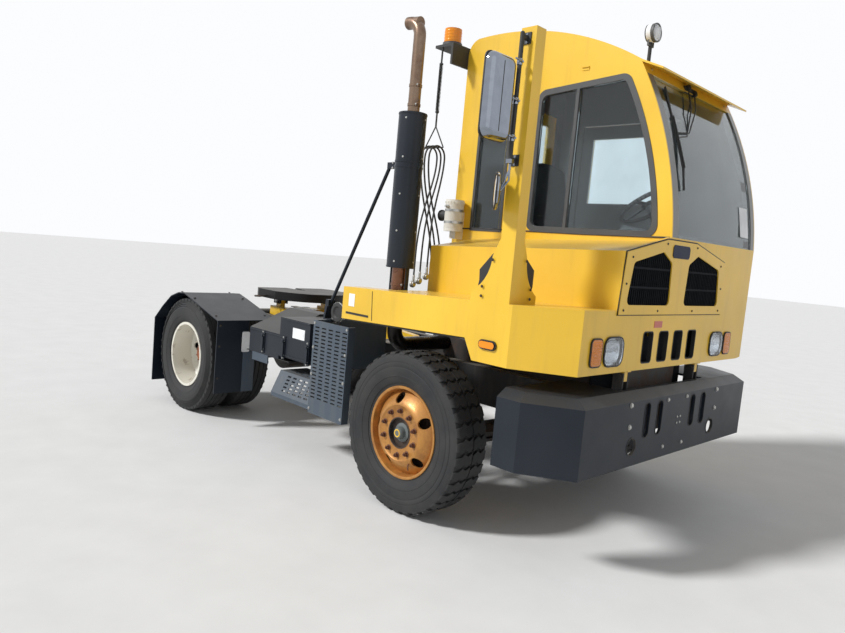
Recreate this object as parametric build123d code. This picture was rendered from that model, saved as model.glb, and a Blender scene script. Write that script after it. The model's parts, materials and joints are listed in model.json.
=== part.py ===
from build123d import *
import math
import os

# Terminal tractor: offset cab on the left, hood and fender on the right, lifting fifth wheel behind.
# Millimetres. +X forward, +Y to the vehicle's left, +Z up, origin on the ground below the middle.

# Driving dimensions of the whole vehicle
WHEELBASE = 2946
FRONT_OVERHANG = 1235
REAR_OVERHANG = 660
AXLE_HEIGHT = 520
FIT_GAP = 0.3
RUNNING_GAP = 0.05

X_BUMPER = (FRONT_OVERHANG + WHEELBASE + REAR_OVERHANG) / 2
X_FRONT = X_BUMPER - FRONT_OVERHANG
X_REAR = X_FRONT - WHEELBASE
X_TAIL = -X_BUMPER

# Wheels
TYRE_R = 520
TYRE_HALF_WIDTH = 139
BEAD_R = 286
BEAD_HALF_WIDTH = 104
FLANGE_R = 298.5
FLANGE_THICK = 8
RIM_WALL = 10
FRONT_WHEEL_Y = 1063
FRONT_HUB_OUT = 70
REAR_OUTER_Y = 1100
DUAL_SPACING = 343
HUB_R = 105
HUB_BORE_R = 95
HUB_RECESS = 25
HUB_FLOOR = 10
SPINDLE_R = 42
DISC_THICK = 12
HAND_HOLES = 5
HAND_HOLE_R = 34
HAND_HOLE_CIRCLE_R = 222
DISC_FLAT_R = 172
HUB_CAP_R = 45
HUB_CAP_LENGTH = 60
HAND_HOLE_TURN = 28
REAR_HUB_R = 80
REAR_HUB_SHORT = 40

# Frame
RAIL_Y = 432
RAIL_BOTTOM = 640
RAIL_TOP = 900
RAIL_WALL = 10
RAIL_FLANGE = 76
RAIL_END_TAPER = 260
CROSS_TUBE_R = 45
CROSS_TUBE_Z = 832
RAIL_FRONT = X_FRONT + 1100

# Front bumper
BUMPER_BOTTOM = 556
BUMPER_TOP = 983
BUMPER_BEVEL = 45
BUMPER_PLATE = 16
BUMPER_CORNER_Y = 1060
BUMPER_CORNER_X = X_FRONT + 960
BUMPER_BEVEL_IN = 70
BUMPER_OPEN_FRONT = X_FRONT + 1135
BUMPER_OPEN_Y = 560
WING_Y = 1250
WING_BACK = X_FRONT + 800
SLOT_TABLE = (378, 223)
SLOT_Z = 813
SLOT_LENGTH = 210
SLOT_WIDTH = 66
HOOK_HOLE_Y = 530
HOOK_HOLE_Z = 672
HOOK_HOLE_R = 50

# Front axle and steering
KINGPIN_Y = 870
KINGPIN_R = 22
AXLE_BOSS_R = 48
AXLE_BOSS_BOTTOM = 455
AXLE_BOSS_TOP = 585
YOKE_ARM = 34
YOKE_REACH = 95
BEAM_BOTTOM = 420
BEAM_HALF = 45
STEER_ARM_BACK = 260
TIE_ROD_R = 20
BALL_PIN_R = 14
SPRING_Y = 480
SPRING_HALF_WIDTH = 35
SPRING_REACH = 560

# Rear axle
HOUSING_R = 78
BOWL_R = 195
BOWL_HALF_WIDTH = 150
REAR_SPINDLE_R = 60

# Engine and drive line
ENGINE_BACK = X_FRONT - 560
ENGINE_FRONT = X_FRONT + 470
ENGINE_HALF_WIDTH = 330
ENGINE_BOTTOM = 690
ENGINE_TOP = 1240
RADIATOR_BACK = X_FRONT + 960
RADIATOR_THICK = 70
RADIATOR_HALF_WIDTH = 330
RADIATOR_TOP = 1230
SHAFT_R = 45
SHAFT_FRONT_Z = 730
SHAFT_BACK_Z = AXLE_HEIGHT + 60
SHAFT_END_GAP = 3.6
NOSE_LENGTH = 330

# Cab
CAB_RIGHT = -150
CAB_LEFT = 1170
CAB_FRONT = X_FRONT + 1139
CAB_BACK = X_FRONT - 680
CAB_WALL = 35
CAB_BOTTOM = 1100
SHEET = 8
WAIST_Z = 1895
ROOF_BACK_Z = 3200
ROOF_PEAK_Z = 3315
BROW_X = X_FRONT + 790
BROW_Z = 2995
HEADER_BOTTOM = 2905
PILLAR_MID_X = X_FRONT + 1062
PILLAR_MID_Z = 2350
ROOF_MID_X = X_FRONT + 155
ROOF_MID_Z = 3250
PILLAR_DEPTH = 95
PILLAR_RIGHT_WIDTH = 86
PILLAR_LEFT_WIDTH = 70
FLOOR_TOP = 1320
FLOOR_THICK = 40
FLOOR_FRONT = X_FRONT + 860
SIDE_SILL = FLOOR_TOP - FLOOR_THICK
GLASS = 6

# Cab windows and doors, as back and front offsets from the front axle, and heights
SIDE_WINDOW_BACK = X_FRONT + 30
SIDE_WINDOW_BOTTOM = 1885
SIDE_WINDOW_TOP_BACK = 2865
SIDE_WINDOW_TOP_FRONT = 2915
WINDOW_CORNER = 75
WINDOW_RING = 38
QUARTER_RING = 22
RING_PROUD = 5
MULLION_X = X_FRONT + 358
MULLION_WIDTH = 24
QUARTER_BACK = X_FRONT - 500
QUARTER_FRONT = X_FRONT - 190
QUARTER_BOTTOM = 1865
QUARTER_TOP = 2860
LEFT_DOOR_BACK = X_FRONT - 420
LEFT_DOOR_FRONT = X_FRONT + 460
LEFT_DOOR_BOTTOM = 1140
LEFT_DOOR_TOP = 2880
DOOR_GAP = 6
DOOR_THICK = 30
LEFT_PANE_BOTTOM = 2215
REAR_DOOR_RIGHT = 360
REAR_DOOR_LEFT = 1060
REAR_DOOR_BOTTOM = 1340
REAR_HEADER = 240
REAR_DOOR_TOP = ROOF_BACK_Z - REAR_HEADER
REAR_DOOR_TRAVEL = 430
DOOR_RAIL_DROP = 60
DOOR_RAIL_HEIGHT = 14
HINGE_X = X_FRONT + 462
HINGE_OUT = 14
HINGE_R = 12
HINGE_PIN_R = 6
HINGE_HEIGHT = 40
HINGE_LUG = 20
HINGE_Z = (1400, 2600)

# Front panel, grille, hood and right fender
FRONT_PANEL_THICK = 25
CHAMFER_Y = -1020
FENDER_Y = -1220
CHAMFER_BACK = X_FRONT + 820
FENDER_BACK = X_FRONT - 639
FENDER_TOP_FRONT = 1448
FENDER_TOP_BACK = 1390
FENDER_BOTTOM_FRONT = 1092
ARCH_LOW_X = X_FRONT + 567
ARCH_HIGH_X = X_FRONT + 500
ARCH_Z_FRONT = 1212
ARCH_Z_BACK = 1170
HOOD_Y = -680
HOOD_BACK_LOW = X_FRONT - 418
HOOD_BACK_HIGH = X_FRONT - 372
HOOD_TOP_INNER = 1872
HOOD_TOP_OUTER = 1780
HOOD_FALL = 60
GRILLE_THICK = 8
GRILLE_TABLE = ((-688, 1425), (-662, 1778), (-200, 1877), (200, 1877), (662, 1778), (688, 1425))
GRILLE_WINDOW = ((98, 1480), (115, 1740), (235, 1801), (576, 1724), (618, 1480))
GRILLE_CORNER = 34
MESH_PITCH = 24
MESH_BAR = 5
MESH_DEPTH = 6
AIR_SLOT_PITCH = 197
AIR_SLOT_WIDTH = 123
AIR_SLOT_HEIGHT = 190
AIR_SLOT_Z = 1226
HEADLAMP_Y = 687
HEADLAMP_WIDTH = 195
HEADLAMP_HEIGHT = 160
TURN_LAMP_Y = 871
TURN_LAMP_WIDTH = 104
TURN_LAMP_HEIGHT = 150
LAMP_Z = 1216
MARKER_X = X_FRONT + 678
MARKER_Z = 1197
MARKER_LENGTH = 118
MARKER_HEIGHT = 46
MARKER_PROUD = 16

# Mirror post, mirrors and lamps
POST_FRONT = X_FRONT + 795
POST_DEPTH = 100
POST_WIDTH = 80
POST_TOP = 2890
GUSSET_BACK = X_FRONT + 515
GUSSET_IN = -987
GUSSET_TOP = 1790
GUSSET_FOOT = 55
GUSSET_MID = 140
GUSSET_NECK = 260
MIRROR_X = X_FRONT + 740
MIRROR_STANDOFF = 46
MIRROR_CLEAR = 14
MIRROR_WIDTH = 250
MIRROR_CORNER = 45
MIRROR_CROWN = 24
MIRROR_BOTTOM = 2285
MIRROR_TOP = 2725
MIRROR_TUBE_R = 12
MIRROR_TUBE_TOP = 2850
MIRROR_TUBE_BOTTOM = 2180
CONVEX_R = 100
CONVEX_Z = 2060
CONVEX_OUT = 59
CONVEX_THICK = 28

# Exhaust stack
STACK_X = X_FRONT - 472
STACK_Y = -870
STACK_R = 64
STACK_WALL = 4
STACK_STRAIGHT_TOP = 3140
LOWER_PIPE_Z = 1000
LOWER_BEND_R = 110
PIPE_OPEN_Z = 1300
STACK_BEND_R = 200
STACK_BEND_DEG = 60
SHIELD_R = 97
SHIELD_WALL = 6
SHIELD_BOTTOM = 1545
SHIELD_TOP = 2605
BRACE_FOOT = (X_FRONT - 1062, -1000, 1221)
BRACE_TOP = (X_FRONT - 663, STACK_Y, 2256)
BRACE_R = 13
BRACKET_THICK = 8
NOTCH_FRONT = X_FRONT - 325
NOTCH_OUTER = -1035
NOTCH_INNER = -700

# Right side boxes
BATTERY_OUT = -1110
BATTERY_IN = -600
BATTERY_BACK = X_REAR + 946
BATTERY_FRONT = X_FRONT - 1145
BATTERY_SPLIT = BATTERY_BACK + 0.526 * (BATTERY_FRONT - BATTERY_BACK)
BATTERY_BOTTOM = 715
PANEL_BACK = X_FRONT - 1050
PANEL_FRONT = X_FRONT - 640
PANEL_BOTTOM = 405
PANEL_TOP = 1100
PANEL_Y = -1150
PANEL_SLOTS = (5, 20)
PANEL_SLOT_PITCH = (82, 27.4)
PANEL_SLOT_SIZE = (51, 12)
PANEL_SLOT_FIRST = (X_FRONT - 1003, 530)
STEP_SLOTS = (5, 5)
STEP_SLOT_PITCH = (75, 27)
STEP_SLOT_SIZE = (45, 13)
STEP_SLOT_FIRST = (X_FRONT - 1410, 487)
STEP_BACK = X_FRONT - 1560
STEP_LIP_BOTTOM = 424
STEP_LIP_TOP = 456
STEP_RISE = (79, 168)
STEP_TREAD_IN = PANEL_Y + 330
TREAD_SLOTS = (5, 3)
TREAD_SLOT_PITCH = (75, 62)

# Rear fenders
FENDER_EDGE_Y = 1262
FENDER_INNER_Y = 690
FENDER_TABLE = ((-600, 787), (-430, 925), (-260, 1040), (-110, 1088), (0, 1096), (150, 1060), (666, 925))
FLAP_BOTTOM = 160
GUARD_BOTTOM = 285

# Lifting boom and fifth wheel
BOOM_PIVOT_X = X_REAR + 1490
BOOM_PIVOT_Z = 830
BOOM_PIN_R = 32
BOOM_HUB_R = 62
BOOM_ARM_Y = 290
BOOM_ARM_HALF = 35
PLATE_PIN_X = X_REAR + 96
PLATE_PIN_Z = 1047
PLATE_PIN_R = 22
PLATE_HALF_LENGTH = 470
PLATE_HALF_WIDTH = 445
PLATE_TOP = 1152
PLATE_THICK = 38
SKIRT_BOTTOM = 1070
SKIRT_WALL = 14
RAMP_START = PLATE_PIN_X - 250
RAMP_LENGTH = 230
RAMP_DROP = 60
RIB_Y = 110
CYLINDER_Y = 165
CYLINDER_BASE_X = X_REAR + 1200
CYLINDER_BASE_Z = 600
CYLINDER_EYE_X = X_REAR + 600
CYLINDER_EYE_Z = 815
BARREL_R = 48
ROD_R = 26
CYLINDER_PIN_R = 18
EYE_CLEARANCE = 8
EYE_PIN_R = 12
BARREL_LENGTH = 500
PISTON_START = 90
EAR_IN = 53
EAR_OUT = 67
BASE_BEAM_Z = 708

# Cab tilt hinge
TILT_X = X_FRONT + 1095
TILT_Z = 1050
TILT_Y = 470
TILT_PIN_R = 16

# Air canister on the cab's right wall
CANISTER_X = X_FRONT - 600
CANISTER_R = 72
CANISTER_LOW = 1845
CANISTER_HIGH = 2085

# Hoses hung behind the cab
HOSE_R = 7
COUPLING_NECK = 50
COUPLING_R = 28
HOOK_X = X_FRONT - 800
HOOK_Y = -320
HOOK_HALF = 100
HANGER_LOOP_Z = 2640
HOOK_Z = 2477
MANIFOLD_Z = 1210
MANIFOLD_HALF = 35


def block(x0, x1, y0, y1, z0, z1):
    """Box between two opposite corners."""
    size = (abs(x1 - x0), abs(y1 - y0), abs(z1 - z0))
    middle = ((x0 + x1) / 2, (y0 + y1) / 2, (z0 + z1) / 2)
    return Pos(*middle) * Box(*size)


def slab_xz(points, y0, y1):
    """Polygon in the XZ plane, carried from y0 to y1."""
    face = make_face(Polyline([(x, min(y0, y1), z) for x, z in points], close=True))
    return extrude(face, amount=abs(y1 - y0), dir=(0, 1, 0))


def slab_yz(points, x0, x1):
    """Polygon in the YZ plane, carried from x0 to x1."""
    face = make_face(Polyline([(min(x0, x1), y, z) for y, z in points], close=True))
    return extrude(face, amount=abs(x1 - x0), dir=(1, 0, 0))


def slab_xy(points, z0, z1):
    """Polygon in the XY plane, carried from z0 to z1."""
    face = make_face(Polyline([(x, y, min(z0, z1)) for x, y in points], close=True))
    return extrude(face, amount=abs(z1 - z0), dir=(0, 0, 1))


def rod(start, end, radius):
    """Round bar between two points."""
    axis = Vector(*end) - Vector(*start)
    plane = Plane(origin=start, z_dir=axis)
    return extrude(plane * Circle(radius), amount=axis.length)


def pin_y(x, z, y0, y1, radius):
    """Round bar along Y."""
    return rod((x, min(y0, y1), z), (x, max(y0, y1), z), radius)


def rounded_plate_yz(y, z, width, height, corner, x0, x1):
    """Rounded rectangle in the YZ plane, carried from x0 to x1."""
    plane = Plane(origin=(min(x0, x1), y, z), x_dir=(0, 1, 0), z_dir=(1, 0, 0))
    return extrude(plane * RectangleRounded(width, height, corner), amount=abs(x1 - x0))


def rounded_slab_yz(points, corner, x0, x1):
    """Polygon with rounded corners in the YZ plane, carried from x0 to x1."""
    face = make_face(Polyline([(y, z) for y, z in points], close=True))
    face = fillet(face.vertices(), corner)
    plane = Plane(origin=(min(x0, x1), 0, 0), x_dir=(0, 1, 0), z_dir=(1, 0, 0))
    return extrude(plane * face, amount=abs(x1 - x0))


def mirrored(shape):
    """The same piece on the other side of the vehicle."""
    return mirror(shape, about=Plane.XZ)


def save(name, *shapes):
    """Write the solids of one sub-part to its own file."""
    solids = []
    for shape in shapes:
        solids.extend(shape.solids())
    export_step(Compound(children=solids), os.path.join("parts", name + ".step"))


# Wheels

def tyre(y):
    """Tyre section turned about the wheel's axle, centred on y = 0 and moved to y."""
    half = [
        (BEAD_HALF_WIDTH, BEAD_R + FIT_GAP),
        (BEAD_HALF_WIDTH, FLANGE_R + 6),
        (TYRE_HALF_WIDTH - 12, 345),
        (TYRE_HALF_WIDTH, 400),
        (TYRE_HALF_WIDTH - 7, 452),
        (TYRE_HALF_WIDTH - 22, 505),
        (TYRE_HALF_WIDTH - 42, TYRE_R),
    ]
    outline = half + [(-across, radius) for across, radius in reversed(half)]
    face = make_face(Polyline([(0, across, radius) for across, radius in outline], close=True))
    return Pos(0, y, 0) * revolve(face, Axis.Y)


def turned(points, y):
    """Section given as (across, radius) points, turned about the axle and moved to y."""
    face = make_face(Polyline([(0, across, radius) for across, radius in points], close=True))
    return Pos(0, y, 0) * revolve(face, Axis.Y)


def rim_barrel(y):
    """Rim well with its two flanges."""
    outer = BEAD_HALF_WIDTH + FIT_GAP + FLANGE_THICK
    seat = BEAD_HALF_WIDTH + FIT_GAP
    points = [
        (-outer, BEAD_R - RIM_WALL),
        (-outer, FLANGE_R),
        (-seat, FLANGE_R),
        (-seat, BEAD_R),
        (seat, BEAD_R),
        (seat, FLANGE_R),
        (outer, FLANGE_R),
        (outer, BEAD_R - RIM_WALL),
    ]
    return turned(points, y)


def disc(y, hub_y, side, bore):
    """Dished wheel disc from the rim well down to the hub flange, with hand holes."""
    lip = BEAD_R - RIM_WALL + 1
    points = [
        (y, lip),
        (y + side * DISC_THICK, lip),
        (hub_y + side * DISC_THICK, DISC_FLAT_R),
        (hub_y + side * DISC_THICK, bore),
        (hub_y, bore),
        (hub_y, DISC_FLAT_R),
    ]
    plate = turned(points, 0)
    for index in range(HAND_HOLES):
        angle = math.radians(HAND_HOLE_TURN + 360 * index / HAND_HOLES)
        x = HAND_HOLE_CIRCLE_R * math.cos(angle)
        z = HAND_HOLE_CIRCLE_R * math.sin(angle)
        plate -= pin_y(x, z, y - side * 200, hub_y + side * 200, HAND_HOLE_R)
    return plate


def front_rim(side):
    """Front rim, disc and hub of one side, turned about the axle line."""
    centre = side * FRONT_WHEEL_Y
    disc_y = centre + side * 40
    hub_y = centre + side * FRONT_HUB_OUT
    hub_in = side * (KINGPIN_Y + AXLE_BOSS_R + 20)
    recess = hub_y - side * HUB_RECESS
    hub = pin_y(0, 0, hub_in, hub_y + side, HUB_R)
    hub -= pin_y(0, 0, recess, hub_y + side * DISC_THICK, HUB_BORE_R)
    hub += pin_y(0, 0, recess - side, hub_y + side * HUB_CAP_LENGTH, HUB_CAP_R)
    hub -= pin_y(0, 0, hub_in, recess - side * HUB_FLOOR, SPINDLE_R + RUNNING_GAP)
    return rim_barrel(centre) + disc(disc_y, hub_y, side, HUB_BORE_R) + hub


def rear_rims(side):
    """Two rims on one hub at the rear."""
    outer = side * REAR_OUTER_Y
    inner = side * (REAR_OUTER_Y - DUAL_SPACING)
    face_y = (outer + inner) / 2
    bore = REAR_HUB_R - 5
    outer_disc = disc(outer - side * 90, face_y + side * 6, side, bore)
    inner_disc = disc(inner + side * 90, face_y - side * 6, -side, bore)
    hub_end = outer - side * REAR_HUB_SHORT
    hub = pin_y(0, 0, inner - side * 60, hub_end, REAR_HUB_R)
    hub -= pin_y(0, 0, inner - side * 60, hub_end - side * 15, REAR_SPINDLE_R + RUNNING_GAP)
    return rim_barrel(outer) + rim_barrel(inner) + outer_disc + inner_disc + hub


def make_wheels():
    for name, side in (("left", 1), ("right", -1)):
        front = Pos(X_FRONT, 0, AXLE_HEIGHT)
        rear = Pos(X_REAR, 0, AXLE_HEIGHT)
        inner = side * (REAR_OUTER_Y - DUAL_SPACING)
        save(f"front_{name}_tyre", front * tyre(side * FRONT_WHEEL_Y))
        save(f"front_{name}_rim", front * front_rim(side))
        save(f"rear_{name}_tyres", rear * tyre(side * REAR_OUTER_Y), rear * tyre(inner))
        save(f"rear_{name}_rims", rear * rear_rims(side))


# Steering

def knuckle(side):
    """Kingpin yoke, spindle and steering arm of one side."""
    y = side * KINGPIN_Y
    post_in = side * (KINGPIN_Y - 40)
    post_out = side * (KINGPIN_Y + AXLE_BOSS_R + 6)
    low = AXLE_BOSS_BOTTOM - FIT_GAP
    high = AXLE_BOSS_TOP + FIT_GAP
    lower_arm = block(X_FRONT - 45, X_FRONT + 45, post_in, post_out, low - YOKE_ARM, low)
    upper_arm = block(X_FRONT - 45, X_FRONT + 45, post_in, post_out, high, high + YOKE_ARM)
    web_out = side * (KINGPIN_Y + AXLE_BOSS_R + 18)
    web = block(X_FRONT - 60, X_FRONT + 60, post_out, web_out, low - YOKE_ARM, high + YOKE_ARM)
    pin = rod((X_FRONT, y, low - YOKE_ARM), (X_FRONT, y, high + YOKE_ARM), KINGPIN_R)
    tip = side * (FRONT_WHEEL_Y + FRONT_HUB_OUT - HUB_RECESS - HUB_FLOOR - 5)
    spindle = pin_y(X_FRONT, AXLE_HEIGHT, web_out, tip, SPINDLE_R)
    arm = slab_xy(
        [
            (X_FRONT + 20, y - side * 34),
            (X_FRONT + 20, y + side * 30),
            (X_FRONT - STEER_ARM_BACK + 40, y + side * 28),
            (X_FRONT - STEER_ARM_BACK - 28, y + side * 28),
            (X_FRONT - STEER_ARM_BACK - 28, y - side * 28),
            (X_FRONT - STEER_ARM_BACK + 30, y - side * 28),
        ],
        low - YOKE_ARM,
        low - YOKE_ARM + 26,
    )
    ball_x = X_FRONT - STEER_ARM_BACK
    ball = rod((ball_x, y, low - YOKE_ARM - 60), (ball_x, y, low - YOKE_ARM), BALL_PIN_R)
    return lower_arm + upper_arm + web + pin + spindle + arm + ball


def make_steering():
    low = AXLE_BOSS_BOTTOM - FIT_GAP - YOKE_ARM
    ball_x = X_FRONT - STEER_ARM_BACK
    rod_z = low - 35
    tie = pin_y(ball_x, rod_z, -KINGPIN_Y + 20, KINGPIN_Y - 20, TIE_ROD_R)
    for y in (-KINGPIN_Y, KINGPIN_Y):
        tie += rod((ball_x, y, rod_z - 22), (ball_x, y, rod_z + 22), 32)
    for y in (-KINGPIN_Y, KINGPIN_Y):
        tie -= rod((ball_x, y, rod_z - 40), (ball_x, y, rod_z + 40), BALL_PIN_R + RUNNING_GAP)
    save("left_knuckle", knuckle(1))
    save("right_knuckle", knuckle(-1))
    save("tie_rod", tie)


# Chassis

def make_frame():
    taper = RAIL_TOP - 120
    side_view = [
        (X_TAIL, taper),
        (X_TAIL, RAIL_TOP),
        (RAIL_FRONT, RAIL_TOP),
        (RAIL_FRONT, RAIL_BOTTOM),
        (X_TAIL + RAIL_END_TAPER, RAIL_BOTTOM),
    ]
    inner_view = [
        (X_TAIL - 1, taper + RAIL_WALL),
        (X_TAIL - 1, RAIL_TOP - RAIL_WALL),
        (RAIL_FRONT + 1, RAIL_TOP - RAIL_WALL),
        (RAIL_FRONT + 1, RAIL_BOTTOM + RAIL_WALL),
        (X_TAIL + RAIL_END_TAPER, RAIL_BOTTOM + RAIL_WALL),
    ]
    rail = slab_xz(side_view, RAIL_Y - RAIL_FLANGE, RAIL_Y)
    rail -= slab_xz(inner_view, RAIL_Y - RAIL_FLANGE - 1, RAIL_Y - RAIL_WALL)
    frame = rail + mirrored(rail)
    inside = RAIL_Y - RAIL_WALL + 1
    for x in (X_TAIL + 60, BOOM_PIVOT_X + 250, X_FRONT - 700, X_FRONT + 860):
        frame += pin_y(x, CROSS_TUBE_Z, -inside, inside, CROSS_TUBE_R)
    frame += pin_y(BOOM_PIVOT_X, BOOM_PIVOT_Z, -inside, inside, BOOM_PIN_R)
    for y in (-CYLINDER_Y, CYLINDER_Y):
        frame += pin_y(CYLINDER_BASE_X, CYLINDER_BASE_Z, y - EAR_OUT, y + EAR_OUT, CYLINDER_PIN_R)
        for side in (-1, 1):
            frame += block(
                CYLINDER_BASE_X - 40, CYLINDER_BASE_X + 45, y + side * EAR_IN, y + side * EAR_OUT,
                CYLINDER_BASE_Z - 40, BASE_BEAM_Z + 5,
            )
    frame += block(
        CYLINDER_BASE_X - 10, CYLINDER_BASE_X + 45, -inside, inside, BASE_BEAM_Z, BASE_BEAM_Z + 45
    )
    for y in (-TILT_Y, TILT_Y):
        for side in (-1, 1):
            ear = block(TILT_X - 40, TILT_X + 25, y + side * 34, y + side * 22, RAIL_TOP - 60, TILT_Z + 25)
            frame += ear
        seat_in = math.copysign(RAIL_Y - 5, y)
        seat_out = math.copysign(TILT_Y + 34, y)
        frame += block(TILT_X - 40, RAIL_FRONT, seat_in, seat_out, RAIL_TOP - 60, RAIL_TOP)
        frame += pin_y(TILT_X, TILT_Z, y - 40, y + 40, TILT_PIN_R)
    deck = block(X_FRONT - 1150, X_FRONT - 720, -RAIL_Y, RAIL_Y, RAIL_TOP, RAIL_TOP + 8)
    return frame + deck


def bumper_plan(inset, z):
    """Plan outline of the bumper moved inwards by inset, at height z."""
    side = WING_Y - inset
    corner = BUMPER_CORNER_Y - inset * 0.5
    points = [
        (WING_BACK, side),
        (BUMPER_CORNER_X - inset * 0.4, side),
        (X_BUMPER - inset, corner),
        (X_BUMPER - inset, -corner),
        (BUMPER_CORNER_X - inset * 0.4, -side),
        (WING_BACK, -side),
    ]
    return make_face(Polyline([(x, y, z) for x, y in points], close=True))


def make_bumper():
    bevel_z = BUMPER_TOP - BUMPER_BEVEL
    wall = BUMPER_PLATE
    bevel_in = BUMPER_BEVEL_IN
    body = loft([bumper_plan(0, BUMPER_BOTTOM), bumper_plan(0, bevel_z)])
    body += loft([bumper_plan(0, bevel_z), bumper_plan(bevel_in, BUMPER_TOP)])
    body -= loft([bumper_plan(wall, BUMPER_BOTTOM), bumper_plan(wall, bevel_z)])
    body -= loft([bumper_plan(wall, bevel_z), bumper_plan(wall + bevel_in, BUMPER_TOP - wall)])
    body -= block(
        WING_BACK - 1, BUMPER_OPEN_FRONT, -BUMPER_OPEN_Y, BUMPER_OPEN_Y, BUMPER_BOTTOM, BUMPER_TOP + 1
    )
    x0 = X_BUMPER - wall - 4
    x1 = X_BUMPER + 5
    for side in (-1, 1):
        for y in SLOT_TABLE:
            body -= rounded_plate_yz(side * y, SLOT_Z, SLOT_WIDTH, SLOT_LENGTH, SLOT_WIDTH / 2 - 1, x0, x1)
        hook_y = side * HOOK_HOLE_Y
        body -= rod((x0, hook_y, HOOK_HOLE_Z), (x1, hook_y, HOOK_HOLE_Z), HOOK_HOLE_R)
        horn_in = side * (RAIL_Y - RAIL_FLANGE)
        body += block(RAIL_FRONT, X_BUMPER - wall, horn_in, side * (RAIL_Y - 20), RAIL_BOTTOM + 10, RAIL_TOP - 10)
    return body


def make_front_axle():
    high = AXLE_BOSS_TOP
    beam = block(X_FRONT - BEAM_HALF, X_FRONT + BEAM_HALF, -700, 700, BEAM_BOTTOM - 60, BEAM_BOTTOM - 40)
    beam += block(X_FRONT - BEAM_HALF, X_FRONT + BEAM_HALF, -700, 700, BEAM_BOTTOM + 25, BEAM_BOTTOM + 45)
    beam += block(X_FRONT - 12, X_FRONT + 12, -700, 700, BEAM_BOTTOM - 45, BEAM_BOTTOM + 30)
    for side in (-1, 1):
        rise = slab_yz(
            [
                (side * 690, BEAM_BOTTOM - 60),
                (side * 690, BEAM_BOTTOM + 45),
                (side * (KINGPIN_Y - 30), high - 15),
                (side * (KINGPIN_Y - 30), AXLE_BOSS_BOTTOM + 7),
                (side * (KINGPIN_Y - YOKE_REACH), AXLE_BOSS_BOTTOM + 7),
            ],
            X_FRONT - 40,
            X_FRONT + 40,
        )
        boss = rod((X_FRONT, side * KINGPIN_Y, AXLE_BOSS_BOTTOM), (X_FRONT, side * KINGPIN_Y, high), AXLE_BOSS_R)
        beam += rise + boss
    for side in (-1, 1):
        beam -= rod((X_FRONT, side * KINGPIN_Y, 0), (X_FRONT, side * KINGPIN_Y, 900), KINGPIN_R + RUNNING_GAP)
    spring_low = BEAM_BOTTOM + 45
    for side in (-1, 1):
        y0 = side * (SPRING_Y - SPRING_HALF_WIDTH)
        y1 = side * (SPRING_Y + SPRING_HALF_WIDTH)
        arch = [
            (X_FRONT - SPRING_REACH, 600),
            (X_FRONT - SPRING_REACH, 616),
            (X_FRONT - 250, 545),
            (X_FRONT, 530),
            (X_FRONT + 250, 545),
            (X_FRONT + SPRING_REACH, 616),
            (X_FRONT + SPRING_REACH, 600),
            (X_FRONT + 240, 500),
            (X_FRONT + 60, spring_low),
            (X_FRONT - 60, spring_low),
            (X_FRONT - 240, 500),
        ]
        beam += slab_xz(arch, y0, y1)
        for x in (X_FRONT - SPRING_REACH, X_FRONT + SPRING_REACH):
            beam += pin_y(x, 612, y0, y1, 24)
            beam += block(x - 22, x + 22, side * RAIL_Y, y1, 612, 760)
    return beam


def shaft_point(x):
    """Point on the drive line, which falls from the engine to the rear axle."""
    slope = (SHAFT_FRONT_Z - SHAFT_BACK_Z) / (ENGINE_BACK - X_REAR - NOSE_LENGTH)
    return (x, 0, SHAFT_BACK_Z + slope * (x - X_REAR - NOSE_LENGTH))


def make_rear_axle():
    axle = pin_y(X_REAR, AXLE_HEIGHT, -560, 560, HOUSING_R)
    spindle_end = REAR_OUTER_Y - REAR_HUB_SHORT - 25
    axle += pin_y(X_REAR, AXLE_HEIGHT, -spindle_end, spindle_end, REAR_SPINDLE_R)
    axle += pin_y(X_REAR, AXLE_HEIGHT, -BOWL_HALF_WIDTH, BOWL_HALF_WIDTH, BOWL_R)
    axle += rod(shaft_point(X_REAR + 100), shaft_point(X_REAR + NOSE_LENGTH), 80)
    for side in (-1, 1):
        axle += block(X_REAR - 110, X_REAR + 110, side * 360, side * 440, AXLE_HEIGHT + 40, RAIL_BOTTOM)
    return axle


def make_engine():
    block_body = block(ENGINE_BACK, ENGINE_FRONT, -ENGINE_HALF_WIDTH, ENGINE_HALF_WIDTH, ENGINE_BOTTOM, ENGINE_TOP)
    radiator = block(
        RADIATOR_BACK, RADIATOR_BACK + RADIATOR_THICK, -RADIATOR_HALF_WIDTH, RADIATOR_HALF_WIDTH,
        RAIL_BOTTOM, RADIATOR_TOP,
    )
    web = RAIL_Y - RAIL_WALL
    for side in (-1, 1):
        for x in (ENGINE_BACK + 200, ENGINE_FRONT - 200):
            block_body += block(x - 60, x + 60, side * (ENGINE_HALF_WIDTH - 5), side * web, 700, 760)
        radiator += block(
            RADIATOR_BACK, RADIATOR_BACK + RADIATOR_THICK, side * (RADIATOR_HALF_WIDTH - 5), side * web, 700, 740
        )
    start = shaft_point(X_REAR + NOSE_LENGTH + FIT_GAP)
    shaft = rod(start, shaft_point(ENGINE_BACK - SHAFT_END_GAP), SHAFT_R)
    return block_body, radiator, shaft


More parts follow.
